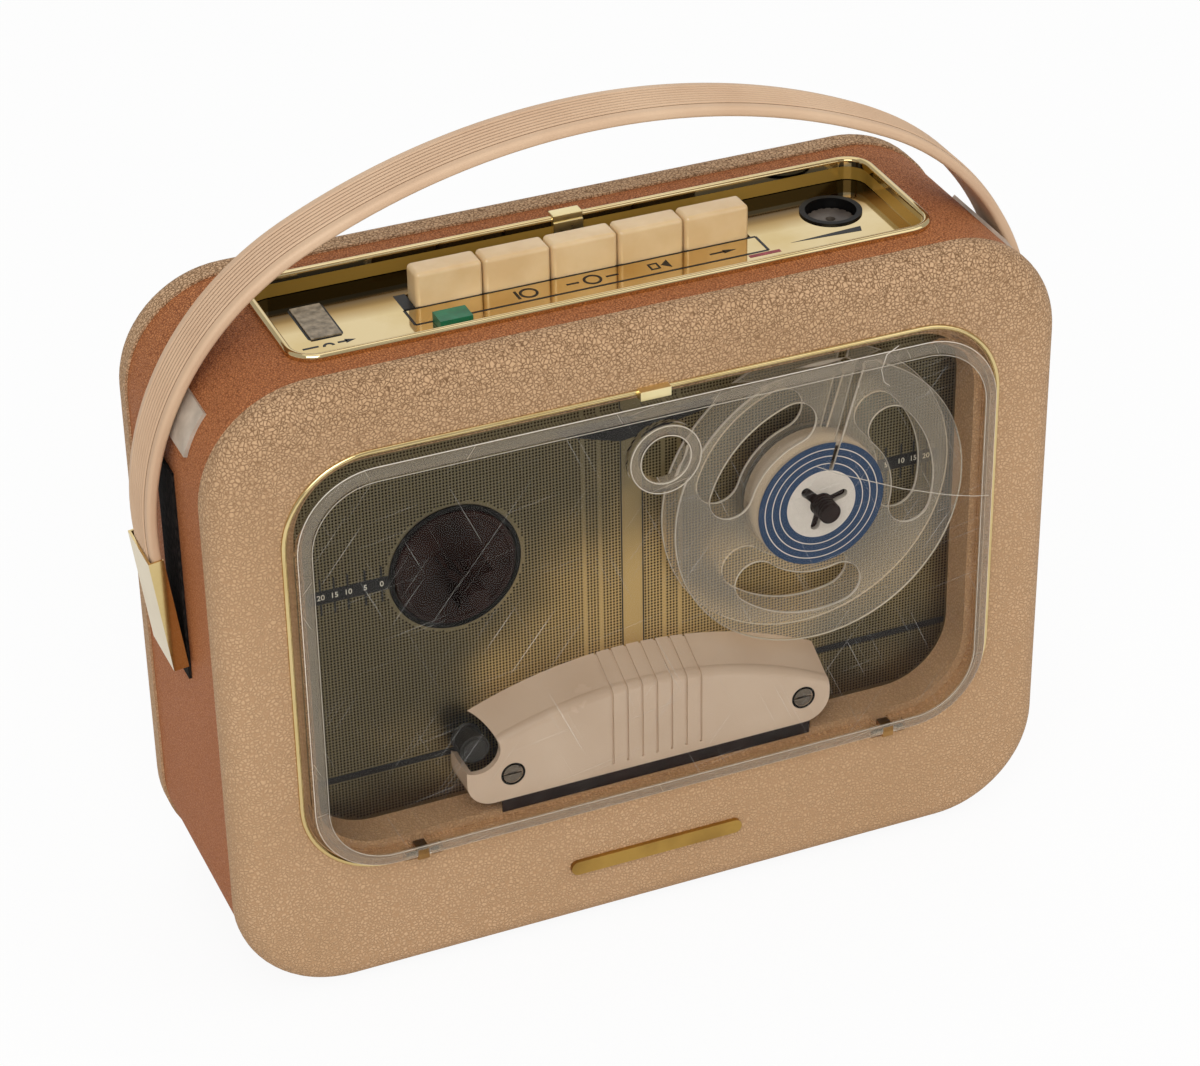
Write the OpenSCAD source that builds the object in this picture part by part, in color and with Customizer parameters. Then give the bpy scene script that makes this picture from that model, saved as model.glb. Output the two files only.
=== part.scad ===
// Portable tape recorder: two reels behind a clear window, a row of keys on top and a strap handle.
// Origin on the table under the middle of the recorder, X to the right, Y to the back, Z up.

/* [Case] */
// Width of the front and back shells
case_w = 280; // [268:1:300]
// Depth from the front face to the back face
case_d = 96; // [93:1:112]
// Corner radius of the shells, seen from the front
case_r = 36; // [32:1:42]
// Rounding of the front and back edges
edge_r = 8; // [5:0.5:9]
// Wall of the shells
shell_t = 3.5; // [2.5:0.5:4]
// Depth of the front shell's outer side
front_depth = 9; // [8.5:0.5:13]
// Depth of the back shell's outer side
rear_depth = 13; // [10:0.5:15]
// Step from the shells in to the band
band_inset = 0.8; // [0.4:0.2:1.4]
// Thickness of the band
band_t = 6; // [4:0.5:7]
// Clear height under the shells
foot_h = 2.5; // [2:0.5:6]
// Radius of a foot
foot_r = 7; // [5:0.5:9]

/* [Window] */
// Width of the window opening
win_w = 233.6; // [228:0.2:238]
// Height of the window opening
win_h = 146.4; // [142:0.2:150]
// Corner radius of the window opening
win_r = 27; // [24:1:32]
// Lower edge of the window opening above the shells' underside
win_base = 45.2; // [43:0.2:48]
// Height of the front face over the window opening
brow = 24.4; // [22:0.2:30]
// Reach of the gilt bead out over the front face
bead_out = 2; // [1.2:0.2:2.6]
// Wall of the collar round the window
collar_t = 4; // [3:0.5:5]
// Depth of the collar in front of the reveal
collar_d = 5; // [4.5:0.5:6]
// Step from the collar in to the reveal
reveal_step = 4.4; // [4.2:0.2:6]
// How far the clear cover's walls reach behind the front face
cover_back = 3.8; // [3:0.2:4]
// Rounding of the clear cover's front edge
cover_edge = 2.8; // [2.2:0.2:3.6]
// Sheet of the window trim
trim_t = 0.8; // [0.6:0.1:1]
// Gap round the clear cover
cover_gap = 0.35; // [0.3:0.05:0.6]
// How far the clear cover stands out of the front face
cover_proud = 6; // [5:0.5:7]
// Sheet of the clear cover
cover_t = 2; // [1.6:0.1:2.4]
// Distance from the middle to each cover hinge
hinge_x = 81; // [60:1:84]
// Radius of the hinge pins
hinge_pin_r = 0.8; // [0.6:0.1:1]
// Outer radius of the finger ring
ring_r = 12; // [10:0.5:14]
// Radius of the finger hole
ring_hole_r = 8; // [6.5:0.5:9]

/* [Deck] */
// Depth of the deck behind the front face
deck_d = 17; // [16.5:0.5:20]
// Sheet of the perforated deck
deck_t = 0.8; // [0.6:0.1:1.2]
// Distance from the middle to each reel shaft
spool_x = 59; // [56:0.5:60]
// Radius of the turntables
turntable_r = 19.8; // [17:0.2:20.4]
// Height of the turntables above the deck
turntable_h = 1.1; // [0.8:0.1:1.6]
// Radius of the reel shafts
spool_shaft_r = 3; // [2.5:0.5:4]
// Radius of a reel spindle
spindle_r = 3.6; // [3.2:0.1:4]
// Gap between the reel and the reveal above it
reel_gap = 1.7; // [1.2:0.1:2.5]
// Thickness over the reel's two flanges
reel_t = 11.5; // [10:0.1:12]
// Sheet of a reel flange
flange_t = 1.2; // [1:0.1:1.6]
// Outer radius of the reel hub
hub_r = 22; // [20:0.5:23]
// Radius of the reel label
label_r = 21.7; // [20:0.1:22.5]

/* [Heads] */
// Width of the head cover
head_w = 126; // [118:1:130]
// Lower edge of the head cover above the shells' underside
head_base_z = 54; // [53:0.5:56]
// Height of the head cover at its front ridge
head_h = 32; // [30:0.5:33]
// Radius of the head cover's arched top
head_arch_r = 137; // [120:1:180]
// Front of the head cover behind the front face
head_front_d = 3; // [2.5:0.5:5]
// Wall of the head cover
head_t = 2; // [1.5:0.1:2.4]
// Growth of the arch's radius from the front ridge to the deck
head_flare = 5.5; // [2:0.5:7]
// Place of the capstan to the right of the middle
capstan_x = 22; // [18:1:26]
// Height of the capstan above the shells' underside
capstan_z = 66; // [65:0.5:67]
// Radius of the capstan
capstan_r = 2; // [1.5:0.1:2.5]
// Radius of the pressure roller
pinch_r = 6; // [5:0.5:6.5]
// Gap between the capstan and the released pressure roller
pinch_gap = 1.6; // [1:0.1:2]

/* [Control tray] */
// Width inside the control tray
tray_w = 206.2; // [200:0.2:212]
// Depth inside the control tray, front to back
tray_l = 50.6; // [48:0.2:54]
// Corner radius inside the control tray
tray_r = 6.9; // [5:0.1:9]
// Depth of the tray floor under the top of the band
tray_h = 5.2; // [4.5:0.1:7]
// Sheet of the tray
tray_t = 0.8; // [0.6:0.1:1.2]
// Width of the tray's rolled rim
tray_rim_w = 2.4; // [2:0.2:3.4]
// Middle of the tray behind the front face
tray_d = 45.8; // [44:0.2:48]
// Pitch of the keys
key_pitch = 22.2; // [20:0.2:23]
// Gap between two keys
key_gap = 0.5; // [0.4:0.1:1]
// Depth of a key, front to back
key_l = 8.8; // [7:0.2:10]
// Height of a key above the tray floor
key_h = 11.2; // [9:0.2:13]
// Rounding of a key's top edges
key_r = 2; // [1:0.2:3]
// Middle of the keys behind the front face
key_d = 51.2; // [50:0.2:54]
// Travel of a key
key_travel = 5; // [3:0.5:6]
// Radius of the volume control's cup
cup_r = 9.4; // [8.5:0.1:10.5]
// Place of the volume control to the right of the middle
volume_x = 84.6; // [82:0.2:88]
// Place of the volume control behind the front face
volume_d = 52.4; // [50:0.2:55]

/* [Handle] */
// Width of the strap
strap_w = 20; // [16:0.5:22]
// Thickness of the strap
strap_t = 4; // [3.5:0.1:5]
// Height of the strap's underside above the shells at its crown
strap_rise = 47; // [44:1:60]
// Drop of the shoulders' centres under the top of the shells
strap_drop = 56.6; // [54:0.2:60]
// Radius of the strap's two shoulders
strap_r2 = 91; // [90:0.5:94]
// Place of the shoulders' centres in from the band's side
strap_inset = 84.4; // [83:0.2:86]
// Lean of the strap's legs in towards their lower ends
strap_lean = 7; // [4:0.5:8]
// Length of the strap's straight legs
strap_leg = 36; // [30:0.5:40]
// Middle of the strap behind the front face
strap_d = 44; // [40:0.5:48]
// Height of the metal end caps
cap_h = 40; // [36:1:44]

/* [Inside] */
// Place of the chassis plate behind the front face
chassis_d = 26; // [25:0.5:30]
// Sheet of the chassis plate
chassis_t = 2; // [1.5:0.5:3]
// Radius of the flywheel
flywheel_r = 30; // [26:1:32]
// Radius of the motor pulley
pulley_r = 8; // [6:0.5:10]
// Place of the motor from the middle
motor_x = -62; // [-66:1:-58]
// Height of the motor above the shells' underside
motor_z = 72; // [70:1:76]
// Radius of the motor
motor_r = 21; // [18:1:22]
// Radius of the loudspeaker
speaker_r = 40; // [34:1:42]
// Radius of a motor cell
cell_r = 16.5; // [15:0.5:16.5]
// Length of a motor cell
cell_l = 61; // [56:1:62]

/* [Hidden] */
$fn = 64;
// Running clearance of a shaft in its bearing
run = 0.05;
// Clearance between moving pieces
clear = 0.3;
// Overlap of joined solids and overshoot of cuts
eps = 0.5;
front_y = (cover_proud - case_d) / 2;
win_top = win_base + win_h;
case_h = win_top + brow;
case_mid = case_h / 2;
band_w = case_w - 2 * band_inset;
band_h = case_h - 2 * band_inset;
band_r = case_r - band_inset;
band_back = case_d - rear_depth;
band_top = case_h - band_inset;
inner_w = band_w - 2 * band_t;
inner_h = band_h - 2 * band_t;
inner_r = band_r - band_t;
inner_base = band_inset + band_t;
wall_x = band_w / 2;
win_mid = win_base + win_h / 2;
// Clearance of a fixed fit
fit = 0.05;
cover_in = fit + trim_t + cover_gap;
cover_w = win_w - 2 * cover_in;
cover_h = win_h - 2 * cover_in;
cover_r = win_r - cover_in;
cover_base = win_base + cover_in;
hinge_z = cover_base + 1.5;
hinge_d = -cover_proud + 2.5;
hinge_boss = 1.7;
ear_w = 4;
knuckle_w = 3.5;
notch_w = 5;
ring_x = 1.9;
ring_z = win_top - 20.9;
clip_w = 10;
deck_back = deck_d + deck_t;
deck_w = win_w - 2 * reveal_step;
deck_h = win_h - 2 * reveal_step;
deck_r = win_r - reveal_step;
deck_seat = 3.6;
// The reel fills the height between the head cover's ridge and the reveal
reel_top = win_top - reveal_step - reel_gap;
reel_base = head_base_z + head_h - 0.5;
reel_r = (reel_top - reel_base) / 2;
spool_z = (reel_top + reel_base) / 2;
turntable_front = deck_d - turntable_h;
// Radius of the deck's holes for the turntables
well_r = turntable_r + clear + 0.1;
dish = 0.4;
reel_back = turntable_front - clear - 0.1;
reel_front = reel_back - reel_t;
label_t = 0.2;
spindle_front = -cover_proud + cover_t + 1;
lobe_l = 9;
lobe_w = 2.6;
lobes_at = [15, 135, 255];
// Slit of the reel for the tape's end
slit_turn = 75;
slit_r = 12;
slit_w = 1.6;
chassis_back = chassis_d + chassis_t;
chassis_top = band_top - tray_h - tray_t - 8;
bearing_r = 6;
bearing_back = chassis_back + 14;
flywheel_front = bearing_back + 2;
flywheel_t = 9;
flywheel_back = flywheel_front + flywheel_t;
belt_w = 4;
belt_t = 1.6;
belt_d = flywheel_front + flywheel_t / 2;
motor_front = flywheel_back + 3;
motor_l = 32;
plate_t = 1.6;
floor_z = band_top - tray_h;
key_below = 9;
key_count = 5;
key_mid = -1.6;
guide_drop = 28;
stem_w = 6;
stem_t = 2;
spring_r = 4.4;
lens_w = 9.6;
lens_l = 20.4;
lens_x = -87.8;
lens_d = 50.8;
lens_t = 1.2;
tab_w = 10.5;
tab_l = 7;
tab_h = 3;
tab_x = -50.2;
tab_d = 33.5;
tab_travel = 4;
tab_neck = 2.4;
pot_r = 11;
cup_h = 7;
cup_t = 1.2;
knob_r = cup_r - cup_t - 0.5;
shaft_r = 3;
strap_x2 = wall_x - strap_inset;
strap_z2 = case_h - strap_drop;
strap_crown = case_h + strap_rise;
// Centre and radius of the long arc over the crown, tangent to the two shoulders
strap_top2 = strap_crown - strap_r2;
strap_c1 = (strap_x2 ^ 2 + strap_z2 ^ 2 - strap_top2 ^ 2) / (2 * (strap_z2 - strap_top2));
strap_r1 = strap_crown - strap_c1;
strap_a = asin(strap_x2 / (strap_r1 - strap_r2));
strap_down = 90 + strap_lean;
leg_top = [strap_x2, strap_z2] + strap_r2 * [sin(strap_down), cos(strap_down)];
leg_end = leg_top - strap_leg * [sin(strap_lean), cos(strap_lean)];
cap_t = 0.8;
cap_floor = 1.5;
pivot_z = leg_end[1] + 5;
pivot_r = 2;
pivot_tip = leg_end[0] + 3.2;
felt_t = 1;
box_t = 1.6;
box_h = 2 * (cell_r + box_t) + 1;
box_back = case_d - shell_t - 1;
box_front = box_back - box_h;
box_w = 3 * cell_l + 2 * box_t + 4;
// Loudspeaker, close under the key guide
speaker_rim_r = speaker_r + 3;
speaker_z = floor_z - tray_t - guide_drop - speaker_rim_r - 0.2;
// Amplifier board, hung from the top right of the chassis
board_w = 62;
board_h = 104;
board_x = inner_w / 2 - board_w / 2 - 5.2;
board_z = chassis_top - board_h / 2 - 37.2;
board_d = chassis_back + 34;
pillar_x = inner_w / 2 - 20;
pillar_z = [inner_base + 20, chassis_top - 10];
pillar_r = 4;
screw_r = 1.5;
screw_l = 8;
screw_head_r = 3.4;
// Rounding of the head cover's ridge and of its lower corners
head_soft = 3;
head_end_r = 9;
// Posts of the tape guides and shafts of the rollers and the motor
post_r = 1.5;
lever_pin_r = 2;
head_space = head_front_d + head_t + 1;
head_screws_at = [[-47.5, head_base_z + 9.3], [53.6, head_base_z + 9.8]];
roller_x = -59;
roller_z = head_base_z + 20;
roller_r = 5;
lever_x = capstan_x + 18;
lever_z = capstan_z + 5;
pinch_z = capstan_z + capstan_r + pinch_gap + pinch_r;

cream = "burlywood";
brown = "sienna";
gold = "goldenrod";
ivory = "wheat";
dark = "#2a2022";
steel = "lightgray";

// Places a drawing made in the front view: its x is X, its y is the height above the shells' underside
module at_depth(d) translate([0, front_y + d, foot_h]) rotate([90, 0, 0]) children();

// A front-view drawing carried from depth d1 to depth d2
module slab(d1, d2) at_depth(d2) linear_extrude(d2 - d1) children();

// A round bar along the depth
module rod(x, z, r, d1, d2) slab(d1, d2) translate([x, z]) circle(r);

// A bush along the depth
module bush(x, z, r_out, r_in, d1, d2) slab(d1, d2) translate([x, z]) ring_2d(r_out, r_in);

module ring_2d(r_out, r_in) {
    difference() {
        circle(r_out);
        circle(r_in);
    }
}

// Places a plan-view drawing at x and depth d, on a height above the shells' underside
module on_plan(x, d, z) translate([x, front_y + d, foot_h + z]) children();

module rounded_rect(w, h, r) {
    square([w - 2 * r, h], center = true);
    square([w, h - 2 * r], center = true);
    for (x = [-1, 1], y = [-1, 1]) translate([x * (w / 2 - r), y * (h / 2 - r)]) circle(r);
}

// Carries a profile round a rounded rectangle: the profile's x points outwards from the outline
module frame_sweep(w, h, r) {
    side_x = w / 2 - r;
    side_y = h / 2 - r;
    for (c = [[1, 1, 0], [-1, 1, 90], [-1, -1, 180], [1, -1, 270]])
        translate([c[0] * side_x, c[1] * side_y, 0]) rotate([0, 0, c[2]])
            rotate_extrude(angle = 90) translate([r, 0]) children();
    for (s = [[0, w / 2, side_y], [90, h / 2, side_x], [180, w / 2, side_y], [270, h / 2, side_x]])
        rotate([0, 0, s[0]]) translate([s[1], s[2], 0]) rotate([90, 0, 0])
            linear_extrude(2 * s[2]) children();
}

// Wall of a shell with its rounded front edge, outside at x = 0, front at y = 0
module shell_profile(depth) {
    difference() {
        union() {
            intersection() {
                translate([-edge_r, -edge_r]) circle(edge_r);
                translate([-edge_r, -edge_r]) square(edge_r);
            }
            translate([-edge_r, -depth]) square([edge_r, depth - edge_r]);
        }
        translate([-edge_r, -edge_r]) circle(edge_r - shell_t);
        translate([-edge_r - eps, -depth - eps]) square([edge_r - shell_t + eps, depth - edge_r + eps]);
    }
}

// Ring round the window, from an inner to an outer distance from its outline
module window_ring(inner, outer) translate([0, win_mid]) difference() {
    rounded_rect(win_w + 2 * outer, win_h + 2 * outer, win_r + outer);
    rounded_rect(win_w + 2 * inner, win_h + 2 * inner, win_r + inner);
}

module shell_face() {
    translate([0, case_mid]) rounded_rect(case_w - 2 * edge_r, case_h - 2 * edge_r, case_r - edge_r);
}

module front_shell() color(cream) {
    hole_out = collar_t / 2;
    at_depth(0) translate([0, case_mid, 0]) frame_sweep(case_w, case_h, case_r) shell_profile(front_depth);
    slab(0, shell_t) difference() {
        shell_face();
        translate([0, win_mid]) rounded_rect(win_w + 2 * hole_out, win_h + 2 * hole_out, win_r + hole_out);
    }
    slab(0, collar_d) window_ring(0, collar_t);
    slab(collar_d, deck_d) window_ring(-reveal_step, collar_t);
}

module band_outline() translate([0, case_mid]) rounded_rect(band_w, band_h, band_r);

module inner_outline() translate([0, case_mid]) rounded_rect(inner_w, inner_h, inner_r);

module case_band() color(brown) {
    tray_hole_w = tray_w + 2 * (tray_t + clear);
    tray_hole_l = tray_l + 2 * (tray_t + clear);
    difference() {
        slab(front_depth, band_back) difference() {
            band_outline();
            inner_outline();
        }
        on_plan(0, tray_d, band_top - band_t - eps) linear_extrude(band_t + 2 * eps)
            rounded_rect(tray_hole_w, tray_hole_l, tray_r + tray_t + clear);
        on_plan(-wall_x - eps, strap_d, pivot_z) rotate([0, 90, 0])
            cylinder(r = pivot_r + fit, h = 2 * (wall_x + eps));
    }
}

module rear_screw_places() {
    for (x = [-1, 1], z = pillar_z) translate([x * pillar_x, z]) children();
}

module rear_shell() color(cream) {
    difference() {
        union() {
            at_depth(case_d) translate([0, case_mid, 0]) frame_sweep(case_w, case_h, case_r)
                mirror([0, 1, 0]) shell_profile(rear_depth);
            slab(case_d - shell_t, case_d) shell_face();
        }
        slab(case_d - shell_t - eps, case_d + eps) rear_screw_places() circle(screw_r + clear);
        slab(case_d - shell_t / 2, case_d + eps) rear_screw_places() circle(screw_head_r + clear);
    }
}

module rear_screws() color(steel) {
    slab(case_d - shell_t / 2, case_d - clear) rear_screw_places() difference() {
        circle(screw_head_r);
        square([2 * screw_head_r, screw_r / 2], center = true);
    }
    slab(case_d - shell_t - screw_l, case_d - shell_t / 2) rear_screw_places() circle(screw_r);
}

module feet() color("dimgray") {
    foot_x = case_w / 2 - case_r;
    foot_y = (band_back - front_depth) / 2 - 2 * foot_r;
    for (x = [-1, 1], y = [-1, 1])
        on_plan(x * foot_x, (front_depth + band_back) / 2 + y * foot_y, -foot_h)
            cylinder(r1 = foot_r - 1, r2 = foot_r, h = foot_h + band_inset);
}

// Half-round bead, sleeve and inner flange of the trim; x points outwards from the window's outline
module trim_profile() {
    bead_r = (bead_out + trim_t + fit) / 2;
    translate([bead_out - bead_r, 0]) intersection() {
        circle(bead_r);
        translate([-bead_r, 0]) square(2 * bead_r);
    }
    translate([-fit - trim_t, -collar_d]) square([trim_t, collar_d]);
    translate([-reveal_step, -collar_d]) square([reveal_step - fit, trim_t]);
}

module window_trim() color(gold) {
    ear_base = win_base + fit;
    difference() {
        at_depth(0) translate([0, win_mid, 0]) frame_sweep(win_w, win_h, win_r) trim_profile();
        slab(-cover_proud, 0) translate([-clip_w / 2 - fit, win_top - collar_t])
            square([clip_w + 2 * fit, 2 * collar_t]);
    }
    difference() {
        slab(hinge_d - hinge_boss + clear, trim_t) for (x = [-1, 1])
            translate([x * hinge_x - ear_w / 2, ear_base])
                square([ear_w, hinge_z + hinge_boss - clear - ear_base]);
        hinge_bores(hinge_pin_r + fit / 2);
    }
}

module hinge_bores(r) {
    bore_l = notch_w + 2 * knuckle_w + 1;
    for (x = [-1, 1]) on_plan(x * hinge_x - bore_l / 2, hinge_d, hinge_z)
        rotate([0, 90, 0]) cylinder(r = r, h = bore_l);
}

module hinge_pins() color(steel) {
    pin_l = notch_w + 2 * knuckle_w - 1;
    for (x = [-1, 1]) on_plan(x * hinge_x - pin_l / 2, hinge_d, hinge_z)
        rotate([0, 90, 0]) cylinder(r = hinge_pin_r, h = pin_l);
}

module cover_clip() color(gold) {
    clip_lip = 0.4;
    clip_proud = 1;
    clip_base = win_top - fit - trim_t + clip_lip / 2;
    clip_top = win_top + bead_out + clip_lip;
    slab(-bead_out - clip_proud, 0) translate([-clip_w / 2, clip_base])
        square([clip_w, clip_top - clip_base]);
}

module gilt_bar() color(gold) {
    bar_w = 60;
    bar_h = 5;
    bar_d = 1.5;
    slab(-bar_d, 0) translate([0, win_base / 2]) rounded_rect(bar_w, bar_h, bar_h / 2 - fit);
}

// Wall of the clear cover with its rounded front edge, outside at x = 0
module cover_profile() {
    centre_y = cover_proud - cover_edge;
    difference() {
        intersection() {
            translate([-cover_edge, centre_y]) circle(cover_edge);
            translate([-cover_edge, centre_y]) square(cover_edge);
        }
        translate([-cover_edge, centre_y]) circle(cover_edge - cover_t);
    }
    translate([-cover_t, -cover_back]) square([cover_t, centre_y + cover_back]);
}

module window_cover() color("lightcyan", 0.4) {
    pane_w = cover_w - 2 * cover_edge;
    pane_h = cover_h - 2 * cover_edge;
    boss_w = notch_w + 2 * knuckle_w;
    difference() {
        union() {
            at_depth(0) translate([0, win_mid, 0]) frame_sweep(cover_w, cover_h, cover_r) cover_profile();
            slab(-cover_proud, -cover_proud + cover_t)
                translate([0, win_mid]) rounded_rect(pane_w, pane_h, cover_r - cover_edge);
            slab(-cover_proud + cover_t / 2, hinge_d + hinge_boss) for (x = [-1, 1])
                translate([x * hinge_x - boss_w / 2, cover_base])
                    square([boss_w, hinge_z + hinge_boss - cover_base]);
            rod(ring_x, ring_z, ring_r, -cover_proud, -cover_proud + 2 * cover_t);
        }
        rod(ring_x, ring_z, ring_hole_r, -cover_proud - eps, -cover_proud + 2 * cover_t + eps);
        slab(-cover_proud - eps, cover_back + eps) for (x = [-1, 1])
            translate([x * hinge_x - notch_w / 2, cover_base - eps])
                square([notch_w, hinge_z + hinge_boss + eps - cover_base + eps]);
        hinge_bores(hinge_pin_r + run);
    }
}

module deck_grille() color(gold) {
    slab(deck_d, deck_back) difference() {
        translate([0, win_mid])
            rounded_rect(deck_w + 2 * deck_seat, deck_h + 2 * deck_seat, deck_r + deck_seat);
        for (x = [-1, 1]) translate([x * spool_x, spool_z]) circle(well_r);
        translate([capstan_x, capstan_z]) circle(bearing_r + clear);
    }
}

module chassis_plate() color(steel) {
    post_x = deck_w / 2 - 6;
    slab(chassis_d, chassis_back) difference() {
        intersection() {
            inner_outline();
            translate([-inner_w / 2, 0]) square([inner_w, chassis_top]);
        }
        for (x = [-1, 1]) translate([x * spool_x, spool_z]) circle(bearing_r);
        translate([capstan_x, capstan_z]) circle(bearing_r);
        translate([0, speaker_z]) circle(speaker_r - 3);
    }
    slab(deck_back, chassis_d) for (x = [-1, 1], z = [-1, 1])
        translate([x * post_x, win_mid + z * (deck_h / 2 - 20)]) circle(pillar_r);
    difference() {
        slab(chassis_back, case_d - shell_t) rear_screw_places() circle(pillar_r);
        slab(case_d - shell_t - screw_l - clear, case_d) rear_screw_places() circle(screw_r);
    }
}

// Bearings of the two reel shafts and of the capstan, each with a flange against the chassis
module shaft_bearings() color("peru") {
    flange_r = bearing_r + 3;
    for (x = [-1, 1]) {
        bush(x * spool_x, spool_z, bearing_r, spool_shaft_r + run, deck_back + 2, bearing_back);
        bush(x * spool_x, spool_z, flange_r, bearing_r - 1, chassis_d - 1.5, chassis_d);
    }
    bush(capstan_x, capstan_z, bearing_r, capstan_r + 1 + run, deck_back - eps, bearing_back);
    bush(capstan_x, capstan_z, flange_r, bearing_r - 1, chassis_d - 1.5, chassis_d);
}

// Black rings lying on the deck round the turntables
module turntable_rings() color("black") {
    ring_w = 1.4;
    ring_t = 0.5;
    for (x = [-1, 1]) bush(x * spool_x, spool_z, well_r + ring_w, well_r, deck_d - ring_t, deck_d);
}

// Turntable with a raised rim line, three thin ridges and its shaft
module turntable(x) {
    rib_l = turntable_r - spindle_r - 4;
    rim_w = 1.6;
    rim_in = turntable_r - rim_w - dish;
    back = -turntable_h - deck_t;
    at_depth(turntable_front) translate([x, spool_z, 0]) rotate_extrude()
        polygon([[0, -dish], [rim_in - dish, -dish], [rim_in, 0], [turntable_r - dish, 0],
            [turntable_r, -dish], [turntable_r, back], [0, back]]);
    slab(turntable_front, turntable_front + 2 * dish) translate([x, spool_z]) for (a = [30, 150, 270])
        rotate(a) translate([spindle_r + 1, -dish]) square([rib_l, 2 * dish]);
    rod(x, spool_z, spool_shaft_r, turntable_front + turntable_h, bearing_back - 1);
}

module left_turntable() color(dark) turntable(-spool_x);

module right_turntable() color(dark) turntable(spool_x);

// Reel spindle with grip rings and three lobes that drive the reel
module spindle(x) {
    rings = 6;
    ring_pitch = 1.5;
    ring_h = 0.4;
    lobe_front = reel_front + flange_t;
    rod(x, spool_z, spindle_r - ring_h, spindle_front, turntable_front + dish);
    for (i = [0 : rings - 1]) {
        ring_d = spindle_front + ring_h + ring_pitch * i;
        rod(x, spool_z, spindle_r, ring_d, ring_d + ring_pitch / 2);
    }
    slab(lobe_front, turntable_front + dish) translate([x, spool_z]) for (a = lobes_at)
        rotate(a) translate([0, -lobe_w / 2]) square([lobe_l - lobe_w / 2, lobe_w]);
    slab(lobe_front, turntable_front + dish) translate([x, spool_z]) for (a = lobes_at)
        rotate(a) translate([lobe_l - lobe_w / 2, 0]) circle(lobe_w / 2);
}

module left_spindle() color(dark) spindle(-spool_x);

module right_spindle() color(dark) spindle(spool_x);

// Hole of the reel: a round bore with three slots for the spindle's lobes
module reel_hole() {
    circle(spindle_r + clear);
    for (a = lobes_at) rotate(a) {
        translate([0, -lobe_w / 2 - clear]) square([lobe_l - lobe_w / 2, lobe_w + 2 * clear]);
        translate([lobe_l - lobe_w / 2, 0]) circle(lobe_w / 2 + clear);
    }
}

// Slit in which the tape's end is caught, wider towards the rim
module thread_slit() {
    slit_end = reel_r + eps;
    rotate(slit_turn)
        polygon([[slit_r, -slit_w / 2], [slit_end, -slit_w], [slit_end, slit_w], [slit_r, slit_w / 2]]);
}

// Points on an arc, after its start up to its end
function arc_points(centre, r, a1, a2, steps) =
    [for (i = [1 : steps]) let (a = a1 + (a2 - a1) * i / steps) centre + r * [cos(a), sin(a)]];

// Kidney-shaped window in a reel flange
module reel_window(r_in, r_out, half_angle) {
    steps = 10;
    end_r = (r_out - r_in) / 2;
    end_1 = (r_in + end_r) * [cos(half_angle), sin(half_angle)];
    end_2 = [end_1[0], -end_1[1]];
    polygon(concat(arc_points([0, 0], r_out, -half_angle, half_angle, steps),
        arc_points(end_1, end_r, half_angle, half_angle + 180, steps),
        arc_points([0, 0], r_in, half_angle, -half_angle, steps),
        arc_points(end_2, end_r, 180 - half_angle, 360 - half_angle, steps)));
}

module reel_flange(d) color("gainsboro", 0.6) {
    rim_w = 10.5;
    window_gap = 3;
    window_half = 28;
    slab(d, d + flange_t) translate([spool_x, spool_z]) difference() {
        circle(reel_r);
        reel_hole();
        thread_slit();
        for (a = lobes_at) rotate(a) reel_window(hub_r + window_gap, reel_r - rim_w, window_half);
    }
}

module reel_front_flange() reel_flange(reel_front);

module reel_back_flange() reel_flange(reel_back - flange_t);

// Wall of the reel's hub, and the boss round its bore
module reel_hub() color("gainsboro", 0.6) {
    hub_t = 2;
    boss_t = 3;
    slab(reel_front + flange_t + fit, reel_back - flange_t - fit) translate([spool_x, spool_z]) {
        ring_2d(hub_r, hub_r - hub_t);
        difference() {
            circle(lobe_l + boss_t);
            reel_hole();
        }
    }
}

module reel_label() color("steelblue") slab(reel_front - label_t, reel_front) translate([spool_x, spool_z])
    difference() {
        circle(label_r);
        reel_hole();
        thread_slit();
    }

module head_outline(inset) {
    end_r = head_end_r - inset;
    top = 2 * head_h;
    translate([0, head_base_z + inset]) {
        translate([-head_w / 2 + inset, end_r]) square([head_w - 2 * inset, top - end_r]);
        translate([-head_w / 2 + inset + end_r, 0]) square([head_w - 2 * (inset + end_r), top]);
        for (x = [-1, 1]) translate([x * (head_w / 2 - inset - end_r), end_r]) circle(end_r);
    }
}

// Body under the head cover's arched top, which rises from the round front ridge back to the deck
module head_arch(inset) {
    arch_x = -4;
    arch_r = head_arch_r - inset;
    soft = head_soft - inset;
    ridge_d = -head_front_d - head_soft;
    back = -deck_d - eps;
    steps = 6;
    ridge = [for (i = [0 : steps]) let (a = 90 * i / steps)
        [arch_r - soft, ridge_d] + soft * [sin(a), cos(a)]];
    at_depth(0) translate([arch_x, head_base_z + head_h - head_arch_r, 0]) rotate_extrude()
        polygon(concat([[0, ridge_d + soft]], ridge,
            [[arch_r + head_flare, -deck_d], [arch_r + head_flare, back], [0, back]]));
}

module head_screw_places() {
    for (p = head_screws_at) translate(p) children();
}

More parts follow.
